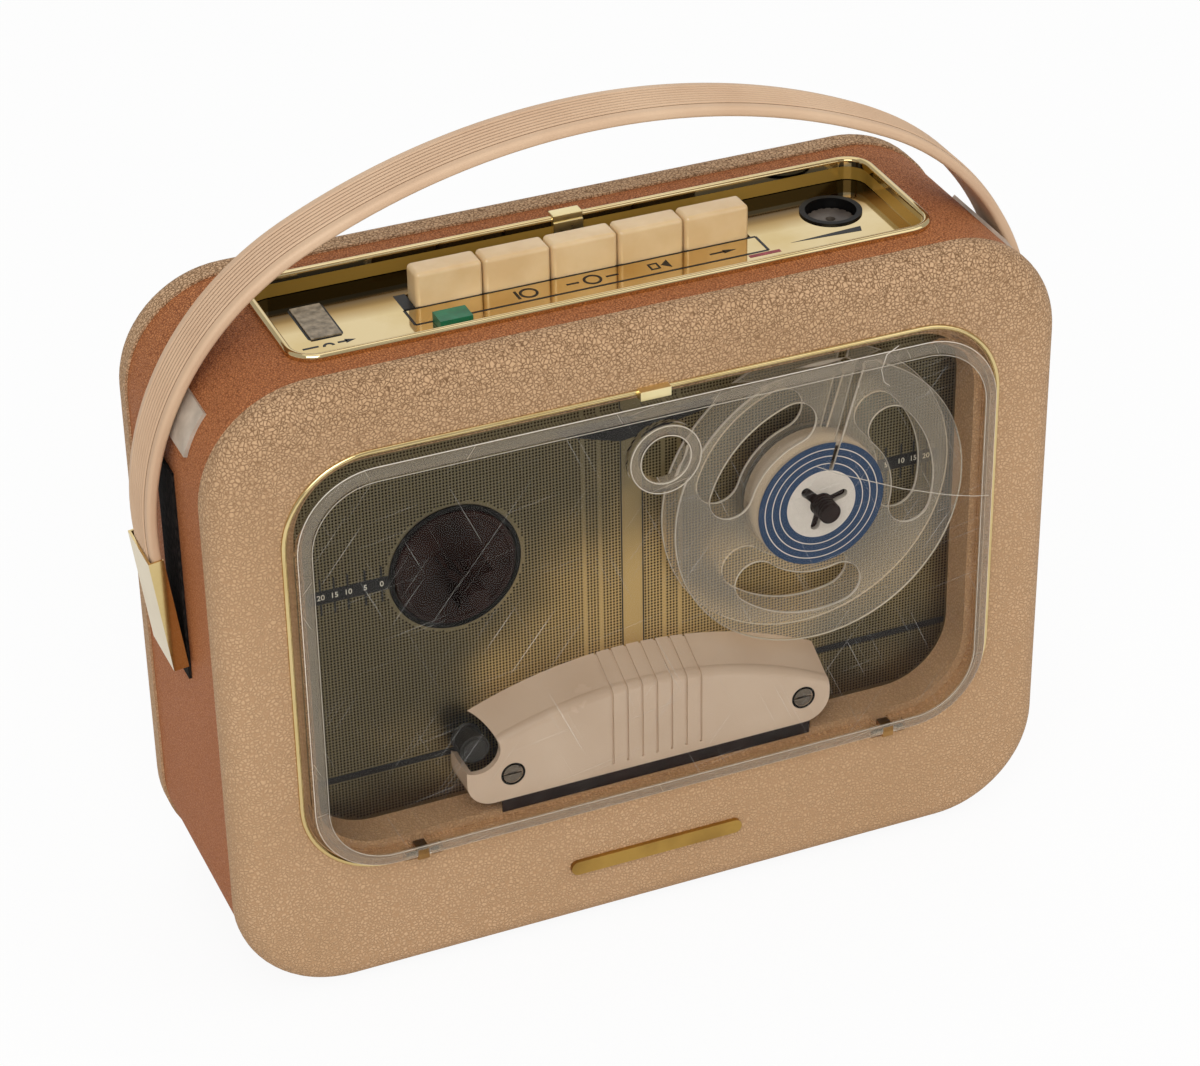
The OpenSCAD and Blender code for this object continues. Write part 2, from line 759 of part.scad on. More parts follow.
module head_cover() color(ivory) {
    grooves = 7;
    groove_pitch = 5.1;
    groove_w = 0.8;
    groove_t = 0.7;
    groove_mid = 2;
    groove_base = head_base_z + 3;
    bite_r = roller_r + 2.5;
    difference() {
        intersection() {
            slab(head_front_d, deck_d) head_outline(0);
            head_arch(0);
        }
        intersection() {
            slab(head_front_d + head_t, deck_d + eps) head_outline(head_t);
            head_arch(head_t);
        }
        // Grooves up the front and over the arch to the back
        difference() {
            slab(head_front_d - eps, deck_d + eps) for (i = [0 : grooves - 1])
                translate([groove_mid + groove_pitch * (i - (grooves - 1) / 2) - groove_w / 2, groove_base])
                    square([groove_w, 2 * head_h]);
            head_arch(groove_t);
        }
        rod(roller_x, roller_z, bite_r, head_front_d - eps, deck_d + eps);
        slab(head_front_d - eps, head_front_d + head_t + eps) head_screw_places() circle(screw_r + clear);
        slab(head_front_d - eps, head_front_d + head_t / 2) head_screw_places()
            circle(screw_head_r + clear / 2);
    }
}

module head_screws() color(steel) {
    slab(head_front_d + clear, head_front_d + head_t / 2) head_screw_places() difference() {
        circle(screw_head_r - clear);
        square([2 * screw_head_r, screw_r / 2], center = true);
    }
    slab(head_front_d + head_t / 2, deck_d) head_screw_places() circle(screw_r);
}

module head_base() color("#20222c") {
    base_x = 3.5;
    base_w = head_w - 19;
    base_h = 3.8;
    slab(head_front_d + head_t, deck_d) translate([base_x - base_w / 2, head_base_z - base_h])
        square([base_w, base_h]);
}

module head_block(x, w, h) {
    block_z = head_base_z + head_t + 2;
    gap_r = w / 3;
    slab(head_space, deck_d) translate([x - w / 2, block_z]) square([w, h]);
    rod(x, block_z + h, gap_r, head_space + eps, deck_d - gap_r);
}

// Recording head and erase head
module tape_heads() color(steel) {
    record_x = -4;
    erase_x = -26;
    head_l = 11;
    head_block(record_x, 12, head_l);
    head_block(erase_x, 9, head_l);
}

// Fixed posts on the deck: the guide roller's, the pressure lever's and two tape guides
module deck_posts() color(steel) {
    guide_z = capstan_z - 2;
    guide_r = 1.6;
    foot_t = 2;
    rod(roller_x, roller_z, post_r, head_space, deck_d);
    rod(lever_x, lever_z, lever_pin_r, head_space + 5, deck_d);
    for (x = [-capstan_x - 18, capstan_x + 12]) {
        rod(x, guide_z, guide_r, head_space, deck_d);
        rod(x, guide_z, guide_r + 1, deck_d - foot_t, deck_d);
    }
}

module guide_roller() color("#4a4646") {
    lip = 1.4;
    front = deck_d - 11;
    back = deck_d - 3;
    difference() {
        rod(roller_x, roller_z, roller_r, front, back);
        rod(roller_x, roller_z, post_r + run, 0, deck_d);
        bush(roller_x, roller_z, roller_r + 1, roller_r - 1, front + lip, back - lip);
    }
}

module pinch_lever() color(steel) {
    arm_front = deck_d - 4;
    arm_back = deck_d - 2.5;
    arm_w = 4;
    eye_r = 4;
    tip_r = 3.2;
    arm_l = norm([lever_x - capstan_x, lever_z - pinch_z]);
    arm_turn = atan2(lever_z - pinch_z, lever_x - capstan_x);
    difference() {
        union() {
            slab(arm_front, arm_back) {
                translate([lever_x, lever_z]) circle(eye_r);
                translate([capstan_x, pinch_z]) circle(tip_r);
                translate([capstan_x, pinch_z]) rotate(arm_turn) translate([0, -arm_w / 2])
                    square([arm_l, arm_w]);
            }
            rod(capstan_x, pinch_z, post_r, head_space, arm_front);
        }
        rod(lever_x, lever_z, lever_pin_r + run, arm_front - eps, arm_back + eps);
    }
}

module pinch_roller() color("#2b2b2b")
    bush(capstan_x, pinch_z, pinch_r, post_r + run, head_space + head_soft / 2, deck_d - 4 - clear);

// Flywheel with a dished face, a thicker shaft in the bearing and the capstan in front of the deck
module flywheel() color("darkgray") {
    step_d = deck_back + 0.2;
    boss_r = 9;
    dish_t = 3;
    dish_r = flywheel_r - 7;
    rod(capstan_x, capstan_z, capstan_r, head_space, step_d);
    rod(capstan_x, capstan_z, capstan_r + 1, step_d, flywheel_front + eps);
    at_depth(flywheel_front) translate([capstan_x, capstan_z, 0]) rotate_extrude()
        polygon([[0, 0], [boss_r, 0], [boss_r, -dish_t], [dish_r, -dish_t], [dish_r + 1, 0], [flywheel_r, 0],
            [flywheel_r, -flywheel_t], [0, -flywheel_t]]);
}

module motor() color("silver") {
    leg_r = 3;
    bore_l = 12;
    difference() {
        union() {
            rod(motor_x, motor_z, motor_r, motor_front + plate_t, motor_front + motor_l);
            rod(motor_x, motor_z, motor_r + 5, motor_front, motor_front + plate_t);
        }
        rod(motor_x, motor_z, post_r + run, motor_front - eps, motor_front + bore_l);
    }
    slab(chassis_back, motor_front) translate([motor_x, motor_z]) for (a = [60, 180, 300])
        rotate(a) translate([motor_r + 1, 0]) circle(leg_r);
}

module motor_pulley() color("peru") {
    shaft_in = 11;
    cheek_t = 0.8;
    cheek_d = belt_w / 2 + cheek_t / 2;
    rod(motor_x, motor_z, post_r, belt_d - 3, motor_front + shaft_in);
    rod(motor_x, motor_z, pulley_r, belt_d - cheek_d, belt_d + cheek_d);
    for (d = [-cheek_d - cheek_t, cheek_d])
        rod(motor_x, motor_z, pulley_r + 1, belt_d + d, belt_d + d + cheek_t);
}

// Outline round the pulley and the flywheel, joined by their outer tangents
module belt_outline(grow) {
    span = norm([capstan_x - motor_x, capstan_z - motor_z]);
    turn = atan2(capstan_z - motor_z, capstan_x - motor_x);
    lean = asin((flywheel_r - pulley_r) / span);
    steps = 24;
    big = [for (i = [0 : steps]) let (a = -90 - lean + (180 + 2 * lean) * i / steps)
        [span, 0] + (flywheel_r + grow) * [cos(a), sin(a)]];
    small = [for (i = [0 : steps]) let (a = 90 + lean + (180 - 2 * lean) * i / steps)
        (pulley_r + grow) * [cos(a), sin(a)]];
    translate([motor_x, motor_z]) rotate(turn) polygon(concat(big, small));
}

module drive_belt() color("#1c1c1c") slab(belt_d - belt_w / 2, belt_d + belt_w / 2) difference() {
    belt_outline(clear + belt_t);
    belt_outline(clear);
}

module speaker_frame() color("dimgray") {
    depth = 20;
    neck_r = 12;
    yoke_r = 15.5;
    magnet_r = 13;
    yoke_back = chassis_back + depth + 6;
    seat_r = speaker_r - 5;
    at_depth(chassis_back) translate([0, speaker_z, 0]) rotate_extrude()
        polygon([[seat_r, 0], [speaker_rim_r, 0], [speaker_rim_r, -plate_t], [speaker_r - 3, -plate_t],
            [neck_r + 4, -depth], [neck_r, -depth], [neck_r, -depth + plate_t], [seat_r, -plate_t]]);
    rod(0, speaker_z, yoke_r, chassis_back + depth, yoke_back);
    rod(0, speaker_z, magnet_r, yoke_back, yoke_back + 10);
}

module speaker_cone() color("#3a3630") {
    depth = 15;
    neck_r = 11;
    coil_r = 8;
    edge_r = speaker_r - 5.5;
    at_depth(chassis_back) translate([0, speaker_z, 0]) rotate_extrude()
        polygon([[edge_r, -plate_t], [edge_r, -plate_t / 2], [neck_r, -depth + 1], [0, -depth - 1],
            [0, -depth - 2], [neck_r + eps, -depth]]);
    rod(0, speaker_z, coil_r, chassis_back + depth + 1.5, chassis_back + depth + 5);
}

module amplifier_board() color("saddlebrown") {
    leg_in = 5;
    leg_r = 3;
    slab(board_d, board_d + plate_t) translate([board_x, board_z]) square([board_w, board_h], center = true);
    slab(chassis_back, board_d) for (x = [-1, 1], z = [-1, 1])
        translate([board_x + x * (board_w / 2 - leg_in), board_z + z * (board_h / 2 - leg_in)]) circle(leg_r);
}

module valves() color("lightsteelblue") {
    valve_r = 9;
    valve_x = 15;
    valve_z = 24;
    socket_d = board_d + plate_t;
    socket_h = 5;
    for (x = [-1, 1], z = [-1, 1]) {
        rod(board_x + x * valve_x, board_z + z * valve_z, valve_r + 1, socket_d, socket_d + socket_h);
        rod(board_x + x * valve_x, board_z + z * valve_z, valve_r, socket_d + socket_h, case_d - shell_t - 3);
    }
}

module output_transformer() color("gray") {
    core_w = 34;
    core_h = 30;
    core_t = 14;
    coil_t = 6;
    core_x = core_w - inner_w / 2;
    core_z = chassis_top - core_w;
    core_back = chassis_back + core_t;
    slab(chassis_back, core_back) translate([core_x, core_z]) square([core_w, core_h], center = true);
    slab(core_back, core_back + coil_t) translate([core_x, core_z])
        square([core_w - core_t, core_h - coil_t], center = true);
}

module battery_box() color("gray") {
    on_plan(-box_w / 2, box_front, inner_base) difference() {
        cube([box_w, box_h, box_h]);
        translate([box_t, box_t, box_t]) cube([box_w - 2 * box_t, box_h, box_h - 2 * box_t]);
    }
}

module motor_cells() color("firebrick") {
    cap_r = 5;
    cap_h = 2;
    cell_d = box_front + box_t + cell_r + clear;
    for (i = [-1, 0, 1]) on_plan(i * (cell_l + 1) - cell_l / 2, cell_d, inner_base + box_t + cell_r)
        rotate([0, 90, 0]) {
            cylinder(r = cell_r, h = cell_l - cap_h);
            cylinder(r = cap_r, h = cell_l);
        }
}

// Lies on the battery box, between the motor and the amplifier board
module anode_battery() color("darkkhaki") {
    gap = 2;
    battery_x = motor_x + motor_r + 3 * gap;
    battery_w = board_x - board_w / 2 - 3.5 * gap - battery_x;
    battery_h = 34;
    on_plan(battery_x, box_front + gap, inner_base + box_h) cube([battery_w, box_h - 2 * gap, battery_h]);
}

module batteries() {
    motor_cells();
    anode_battery();
}

// Half-round rolled rim on the band, the tray's wall and its floor's edge
module tray_profile() {
    rim_r = tray_rim_w / 2;
    rim_lift = 1.1;
    translate([rim_r, rim_lift]) intersection() {
        circle(rim_r);
        translate([-rim_r, 0]) square(2 * rim_r);
    }
    square([tray_rim_w, rim_lift]);
    translate([0, -tray_h - tray_t]) square([tray_t, tray_h + tray_t]);
}

function key_x(i) = key_mid + key_pitch * (i - (key_count - 1) / 2);

module control_tray() color(gold) {
    on_plan(0, tray_d, band_top) {
        frame_sweep(tray_w, tray_l, tray_r) tray_profile();
        // Spring catch in the middle of the back rim
        translate([-catch_w / 3, tray_l / 2 + tray_rim_w / 2, 0]) cube([catch_w, tray_rim_w / 2 + 1, 1]);
    }
    catch_w = 10;
    slot_w = key_count * key_pitch + 2 * clear;
    gap = 0.2;
    on_plan(0, tray_d, floor_z - tray_t) linear_extrude(tray_t) difference() {
        rounded_rect(tray_w + 2 * eps, tray_l + 2 * eps, tray_r + eps);
        translate([key_mid, key_d - tray_d]) square([slot_w, key_l + 2 * clear + gap], center = true);
        translate([volume_x, volume_d - tray_d]) circle(cup_r + run);
        translate([lens_x, lens_d - tray_d]) square([lens_w + gap, lens_l + gap], center = true);
        translate([tab_x, tab_d + tab_travel / 2 - tray_d])
            square([tab_neck + 2 * clear, 2 * tab_neck + tab_travel + 2 * clear], center = true);
    }
}

module indicator_lens() color("lightgray", 0.7) {
    lip = 1.5;
    on_plan(lens_x - lens_w / 2, lens_d - lens_l / 2, floor_z - tray_t) {
        cube([lens_w, lens_l, tray_t + eps]);
        translate([-lip, -lip, -lens_t]) cube([lens_w + 2 * lip, lens_l + 2 * lip, lens_t]);
    }
}

module indicator_tube() color("lightsteelblue") {
    tube_r = 4.6;
    tube_l = 30;
    on_plan(lens_x, lens_d - tube_l / 2, floor_z - tray_t - lens_t - tube_r)
        rotate([-90, 0, 0]) cylinder(r = tube_r, h = tube_l);
}

module volume_cup() color("#181818") on_plan(volume_x, volume_d, floor_z) {
    lip = 0.6;
    difference() {
        union() {
            translate([0, 0, -cup_h]) cylinder(r = cup_r, h = cup_h + lip);
            cylinder(r = cup_r + lip, h = lip);
        }
        translate([0, 0, 1 - cup_h]) cylinder(r = cup_r - cup_t, h = cup_h + lip);
        translate([0, 0, -cup_h - eps]) cylinder(r = shaft_r + clear, h = cup_h);
    }
}

module volume_knob() color("gray") on_plan(volume_x, volume_d, floor_z) {
    flutes = 18;
    flute_r = 0.7;
    knob_h = 3;
    shaft_l = 12;
    pit_r = 1.6;
    difference() {
        union() {
            translate([0, 0, -cup_h + 1 + clear]) cylinder(r = knob_r, h = knob_h);
            translate([0, 0, -cup_h - 10]) cylinder(r = shaft_r, h = shaft_l);
        }
        translate([0, 0, -cup_h + pit_r]) cylinder(r = pit_r, h = cup_h);
        for (i = [0 : flutes - 1]) rotate(i * 360 / flutes)
            translate([knob_r + clear, 0, -cup_h]) cylinder(r = flute_r, h = cup_h);
    }
}

module volume_pot() color("darkgray") on_plan(volume_x, volume_d, floor_z - cup_h) {
    neck_r = 5;
    neck_h = 6;
    can_h = 11;
    difference() {
        union() {
            translate([0, 0, -neck_h]) cylinder(r = neck_r, h = neck_h);
            translate([0, 0, -neck_h - can_h]) cylinder(r = pot_r, h = can_h);
        }
        translate([0, 0, eps - can_h]) cylinder(r = shaft_r + run, h = can_h);
    }
}

module lock_tab() color("seagreen") on_plan(tab_x, tab_d, floor_z) {
    lift = 0.1;
    foot_t = 1.9;
    translate([-tab_w / 2, -tab_l / 2, lift]) cube([tab_w, tab_l, tab_h]);
    translate([-tab_neck / 2, -tab_neck, -tray_t - foot_t / 2])
        cube([tab_neck, 2 * tab_neck, tray_t + foot_t]);
    translate([-tab_neck, -tab_neck, -tray_t - lift - foot_t]) cube([2 * tab_neck, 2 * tab_neck, foot_t]);
}

module key_guide() color(steel) {
    half = key_count * key_pitch / 2 + 5;
    guide_l = 22;
    on_plan(key_mid - half, key_d - guide_l / 2, floor_z - tray_t - guide_drop) {
        difference() {
            cube([2 * half, guide_l, plate_t]);
            for (i = [0 : key_count - 1]) translate([half + key_x(i) - key_mid, guide_l / 2, plate_t / 2])
                cube([stem_w + 2 * clear, stem_t + 2 * clear, plate_t + 2 * eps], center = true);
        }
        for (x = [0, 2 * half - plate_t]) translate([x, 0, 0]) cube([plate_t, guide_l, guide_drop]);
    }
}

module key_springs() color("silver") {
    spring_base = floor_z - tray_t - guide_drop + plate_t;
    for (i = [0 : key_count - 1]) on_plan(key_x(i), key_d, spring_base) difference() {
        cylinder(r = spring_r, h = floor_z - key_below - spring_base);
        translate([0, 0, -eps]) cylinder(r = spring_r - 0.7, h = guide_drop);
    }
}

// Front view of a key: a block whose two upper corners are round
module rounded_top(w, h, r) {
    translate([-w / 2, 0]) square([w, h - r]);
    translate([-w / 2 + r, 0]) square([w - 2 * r, h]);
    for (s = [-1, 1]) translate([s * (w / 2 - r), h - r]) circle(r);
}

module key(i) color(ivory) on_plan(key_x(i), key_d, floor_z - key_below) {
    cap_w = key_pitch - key_gap;
    tall = key_below + key_h;
    stem_l = guide_drop - key_below + key_travel + 1;
    intersection() {
        rotate([90, 0, 0]) linear_extrude(2 * key_l, center = true) rounded_top(cap_w, tall, key_r);
        rotate([90, 0, 90]) linear_extrude(2 * cap_w, center = true) rounded_top(key_l, tall, key_r);
    }
    translate([-stem_w / 2, -stem_t / 2, -stem_l]) cube([stem_w, stem_t, stem_l + eps]);
}

module rewind_key() key(0);

module record_key() key(1);

module stop_key() key(2);

module play_key() key(3);

module forward_key() key(4);

// Right half of the strap's side view at a distance t from its inner face, from the crown to the lower end
function strap_half(t) = let (steps = 12) concat(
    [for (i = [0 : steps]) let (a = strap_a * i / steps) [0, strap_c1] + (strap_r1 + t) * [sin(a), cos(a)]],
    [for (i = [1 : 2 * steps]) let (a = strap_a + (strap_down - strap_a) * i / steps / 2)
        [strap_x2, strap_z2] + (strap_r2 + t) * [sin(a), cos(a)]],
    [leg_end + t * [cos(strap_lean), -sin(strap_lean)]]);

module handle_strap() color("tan") {
    outer = strap_half(strap_t);
    inner = strap_half(0);
    last = len(outer) - 1;
    side = concat(outer, [for (i = [last : -1 : 0]) inner[i]],
        [for (i = [1 : last]) [-inner[i][0], inner[i][1]]],
        [for (i = [last : -1 : 1]) [-outer[i][0], outer[i][1]]]);
    difference() {
        slab(strap_d - strap_w / 2, strap_d + strap_w / 2) polygon(side);
        for (s = [0, 1]) mirror([s, 0, 0]) on_plan(wall_x, strap_d, pivot_z)
            rotate([0, 90, 0]) cylinder(r = pivot_r + run, h = pivot_tip + clear - wall_x);
    }
}

// Folded metal cap on each end of the strap, open towards the case and at the top
module handle_caps() color(gold) {
    cap_in = strap_w / 2 + fit / 2;
    cap_out = strap_t + fit / 2;
    for (s = [0, 1]) mirror([s, 0, 0]) {
        slab(strap_d - cap_in - cap_t, strap_d + cap_in + cap_t) translate(leg_end) rotate(-strap_lean) {
            translate([cap_out, -cap_floor]) square([cap_t, cap_h]);
            translate([0, -cap_floor]) square([cap_out + cap_t, cap_floor]);
        }
        for (d = [-cap_in - cap_t, cap_in]) slab(strap_d + d, strap_d + d + cap_t)
            translate(leg_end) rotate(-strap_lean) translate([0, -cap_floor])
                square([cap_out + cap_t, cap_h]);
    }
}

// Headed pins in the band on which the strap swings
module handle_pivots() color(steel) {
    head_t = 2;
    pin_in = wall_x - band_t - head_t;
    for (s = [0, 1]) mirror([s, 0, 0]) on_plan(pin_in, strap_d, pivot_z) rotate([0, 90, 0]) {
        cylinder(r = pivot_r, h = pivot_tip - pin_in);
        cylinder(r = 2 * pivot_r, h = head_t);
    }
}

module felt_strips() color("#181512") {
    felt_w = 16;
    felt_base = leg_end[1] - felt_w / 2;
    felt_top = case_h - case_r - 2;
    for (s = [0, 1]) mirror([s, 0, 0]) difference() {
        slab(strap_d - felt_w / 2, strap_d + felt_w / 2)
            translate([wall_x, felt_base]) square([felt_t, felt_top - felt_base]);
        on_plan(wall_x - eps, strap_d, pivot_z) rotate([0, 90, 0])
            cylinder(r = pivot_r + clear, h = felt_t + 2 * eps);
    }
}

module rub_plates() color("lightgray") {
    plate_w = strap_w + 14;
    plate_d = strap_d - 3;
    sheet = 1.2;
    sweep = [16, 40];
    for (s = [0, 1]) mirror([s, 0, 0])
        at_depth(plate_d) translate([case_w / 2 - case_r, case_h - case_r, 0]) rotate(sweep[0])
            rotate_extrude(angle = sweep[1] - sweep[0])
                translate([band_r, -plate_w / 2]) square([sheet, plate_w]);
}

front_shell();
case_band();
rear_shell();
rear_screws();
feet();
window_trim();
cover_clip();
hinge_pins();
gilt_bar();
window_cover();
deck_grille();
chassis_plate();
shaft_bearings();
turntable_rings();
left_turntable();
left_spindle();
right_turntable();
right_spindle();
reel_hub();
reel_front_flange();
reel_back_flange();
reel_label();
head_base();
head_cover();
head_screws();
tape_heads();
deck_posts();
guide_roller();
pinch_lever();
pinch_roller();
flywheel();
motor();
motor_pulley();
drive_belt();
speaker_frame();
speaker_cone();
amplifier_board();
valves();
output_transformer();
battery_box();
batteries();
control_tray();
indicator_lens();
indicator_tube();
volume_cup();
volume_knob();
volume_pot();
lock_tab();
key_guide();
key_springs();
rewind_key();
record_key();
stop_key();
play_key();
forward_key();
handle_strap();
handle_caps();
handle_pivots();
felt_strips();
rub_plates();
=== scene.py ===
import math

import bmesh
import bpy
from mathutils import Matrix, Vector


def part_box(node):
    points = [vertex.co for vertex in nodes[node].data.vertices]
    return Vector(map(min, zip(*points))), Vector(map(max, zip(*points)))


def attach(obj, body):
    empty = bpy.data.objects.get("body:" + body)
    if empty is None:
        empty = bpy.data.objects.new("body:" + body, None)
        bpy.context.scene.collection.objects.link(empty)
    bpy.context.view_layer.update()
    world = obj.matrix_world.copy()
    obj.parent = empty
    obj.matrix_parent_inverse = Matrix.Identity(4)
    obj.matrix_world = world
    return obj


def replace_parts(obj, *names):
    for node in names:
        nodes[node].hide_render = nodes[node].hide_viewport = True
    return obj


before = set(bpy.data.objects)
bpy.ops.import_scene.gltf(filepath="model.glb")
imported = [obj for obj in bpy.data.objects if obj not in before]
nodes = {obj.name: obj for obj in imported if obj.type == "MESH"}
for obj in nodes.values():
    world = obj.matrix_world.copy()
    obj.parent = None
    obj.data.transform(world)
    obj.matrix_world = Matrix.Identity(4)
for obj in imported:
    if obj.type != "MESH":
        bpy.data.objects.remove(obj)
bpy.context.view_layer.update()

# Portable tape recorder: finishes, printed marks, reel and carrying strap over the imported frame.
# Sizes are millimetres, places are worked out from the frame, and MM turns them to metres.
MM = 0.001
scene = bpy.context.scene


def middle(node):
    """Centre of a node's box, in millimetres."""
    low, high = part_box(node)
    return (low + high) / 2 / MM


# Places taken from the frame
DECK_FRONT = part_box("deck_grille")[0].y / MM
DECK_SEAT = 3.6
deck_low, deck_high = (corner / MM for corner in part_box("deck_grille"))
DECK_W = deck_high.x - deck_low.x - 2 * DECK_SEAT
DECK_H = deck_high.z - deck_low.z - 2 * DECK_SEAT
DECK_MID = (deck_low.z + deck_high.z) / 2
SPOOL_X = middle("reel_hub").x
SPOOL_Z = middle("reel_hub").z
TRAY_SHEET = 0.8
TRAY_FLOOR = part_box("control_tray")[0].z / MM + TRAY_SHEET
TRAY_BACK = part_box("control_tray")[1].y / MM

# Camera, at the photograph's view: image of 1200 by 1066 pixels
LENS, SENSOR_W = 107.2, 36.0
AZIMUTH = math.radians(-22.449)
ELEVATION = math.radians(32.006)
ROLL = math.radians(-0.993)
EYE = Vector((-0.36975, -0.89711, 0.72517))


# Helpers

def rgb(code):
    """sRGB hex colour as linear red, green, blue and alpha."""
    parts = [int(code[i:i + 2], 16) / 255 for i in (1, 3, 5)]
    return [p / 12.92 if p <= 0.04045 else ((p + 0.055) / 1.055) ** 2.4 for p in parts] + [1]


def per_mm(size):
    """Texture scale that gives features of about this size."""
    return 1 / (size * MM)


def socket(source):
    """An output socket as it is; for a node, its first output."""
    return source.outputs[0] if isinstance(source, bpy.types.Node) else source


def add(tree, kind, inputs=None, **settings):
    """A node with its settings. Inputs go by name or number: a value, or a socket or node to link from."""
    node = tree.nodes.new(kind)
    for name, value in settings.items():
        setattr(node, name, value)
    for name, value in (inputs or {}).items():
        value = socket(value)
        if isinstance(value, bpy.types.NodeSocket):
            tree.links.new(value, node.inputs[name])
        else:
            node.inputs[name].default_value = value
    return node


def surface(name, **sockets):
    """A material with a Principled surface: its tree, that node and Object coordinates."""
    material = bpy.data.materials.new(name)
    material.use_nodes = True
    tree = material.node_tree
    tree.nodes.clear()
    values = {key.replace("_", " "): value for key, value in sockets.items()}
    shader = add(tree, "ShaderNodeBsdfPrincipled", values)
    add(tree, "ShaderNodeOutputMaterial", {"Surface": shader})
    place = add(tree, "ShaderNodeTexCoord").outputs["Object"]
    return material, tree, shader, place


def mottled(tree, place, size, detail, share, colours):
    """Noise of this size, and the colour that it mixes over this share of its range."""
    noise = add(tree, "ShaderNodeTexNoise", {"Vector": place, "Scale": per_mm(size), "Detail": detail})
    spread = add(tree, "ShaderNodeMapRange", {0: noise, 1: share[0], 2: share[1]})
    first, second = (rgb(colour) for colour in colours)
    tone = add(tree, "ShaderNodeMix", {0: spread, 6: first, 7: second}, data_type="RGBA")
    return noise, tone.outputs[2]


def coat(tree, shader, tone, shine, height, strength, depth):
    """Gives a surface its colour, its roughness if that varies, and the relief of a height."""
    bump = add(tree, "ShaderNodeBump", {"Height": height, "Strength": strength, "Distance": depth * MM})
    for name, source in (("Base Color", tone), ("Roughness", shine), ("Normal", bump)):
        if source:
            tree.links.new(socket(source), shader.inputs[name])


def blended(tree, share, first, second):
    """Shows the second shader for a share of the rays, and the first for the rest."""
    mixed = add(tree, "ShaderNodeMixShader", {0: share, 1: first, 2: second})
    tree.links.new(mixed.outputs[0], tree.nodes["Material Output"].inputs["Surface"])


# Finishes

def leathercloth(name, top, worn, valley_shade, crease_dirt_and_shade, cell, depth):
    """Coated cloth embossed with a leather grain: dull pebbles with painted shade in the valleys between
    them, and creases darkened near the top by dirt and painted shade.
    """
    bend_size, bend_by, break_size = 2.2 * cell, 1.5 * cell, 0.9 * cell
    line_end, slope_end = 0.14, 0.27
    grit_size, grit_share, patch_size = 0.35, 0.35, 60
    unmarked_z, darkest_top_z = 130, 216
    material, tree, shader, place = surface(name, Specular_IOR_Level=0.12)
    bend = add(tree, "ShaderNodeTexNoise", {"Vector": place, "Scale": per_mm(bend_size), "Detail": 2.0})
    shift = add(tree, "ShaderNodeVectorMath", {0: bend.outputs["Color"], "Scale": bend_by * MM},
                operation="SCALE")
    bent = add(tree, "ShaderNodeVectorMath", {0: place, 1: shift}, operation="ADD")
    cells = add(tree, "ShaderNodeTexVoronoi", {"Vector": bent, "Scale": per_mm(cell)},
                feature="DISTANCE_TO_EDGE")
    valley = add(tree, "ShaderNodeMapRange", {0: cells, 2: line_end}, interpolation_type="SMOOTHSTEP")
    breaks = add(tree, "ShaderNodeTexNoise", {"Vector": place, "Scale": per_mm(break_size), "Detail": 1.0})
    smooth = add(tree, "ShaderNodeMapRange", {0: breaks, 1: 0.48, 2: 0.66, 4: 0.85})
    pebble = add(tree, "ShaderNodeMath", {0: valley, 1: smooth}, operation="MAXIMUM")
    grit = add(tree, "ShaderNodeTexNoise", {"Vector": place, "Scale": per_mm(grit_size), "Detail": 2.0})
    relief = add(tree, "ShaderNodeMapRange", {0: cells, 2: slope_end}, interpolation_type="SMOOTHSTEP")
    height = add(tree, "ShaderNodeMath", {0: grit, 1: grit_share, 2: relief}, operation="MULTIPLY_ADD")
    ground = mottled(tree, place, patch_size, detail=3.0, share=(0.4, 0.7), colours=(top, worn))[1]
    # Creases darken towards the top: dirt, and painted shade of light grazing the top edges
    high = add(tree, "ShaderNodeSeparateXYZ", {0: place}).outputs["Z"]
    rise = add(tree, "ShaderNodeMapRange", {0: high, 1: unmarked_z * MM, 2: darkest_top_z * MM})
    near_top = add(tree, "ShaderNodeMath", {0: rise, 1: 2.0}, operation="POWER")
    # Valleys of the grain take a darker colour: painted shade of the embossing
    base = add(tree, "ShaderNodeMix", {0: relief, 6: rgb(valley_shade), 7: ground}, data_type="RGBA")
    line = add(tree, "ShaderNodeMath", {0: 1.0, 1: pebble}, operation="SUBTRACT")
    dirt_and_shade = add(tree, "ShaderNodeMath", {0: line, 1: near_top}, operation="MULTIPLY")
    tone = add(tree, "ShaderNodeMix", {0: dirt_and_shade, 6: base.outputs[2], 7: rgb(crease_dirt_and_shade)}, data_type="RGBA")
    dull = add(tree, "ShaderNodeMapRange", {0: pebble, 3: 0.75, 4: 0.55})
    coat(tree, shader, tone.outputs[2], dull, height, strength=0.75, depth=depth)
    return material


def moulded(name, light, dark, patch, gloss, grain=0.6, depth=0.03, **sockets):
    """Moulded plastic or rubber: soft cloudy colour, a fine skin texture and small changes of gloss."""
    material, tree, shader, place = surface(name, **sockets)
    cloud, tone = mottled(tree, place, patch, detail=4.0, share=(0.35, 0.65), colours=(dark, light))
    skin = add(tree, "ShaderNodeTexNoise", {"Vector": place, "Scale": per_mm(grain), "Detail": 2.0})
    shine = add(tree, "ShaderNodeMapRange", {0: cloud, 3: gloss + 0.08, 4: gloss - 0.06})
    coat(tree, shader, tone, shine, skin, strength=0.5, depth=depth)
    return material


def metal(name, bright, dull, gloss):
    """Plated or drawn metal: even colour with faint tarnish, and fine marks that break up the shine."""
    tarnish_size, mark_size, mark_depth = 24, 1.5, 0.004
    material, tree, shader, place = surface(name, Metallic=1.0)
    tone = mottled(tree, place, tarnish_size, detail=6.0, share=(0.45, 0.7), colours=(bright, dull))[1]
    marks = add(tree, "ShaderNodeTexNoise", {"Vector": place, "Scale": per_mm(mark_size), "Detail": 3.0})
    shine = add(tree, "ShaderNodeMapRange", {0: marks, 3: gloss * 0.7, 4: gloss * 1.4})
    coat(tree, shader, tone, shine, marks, strength=0.3, depth=mark_depth)
    return material


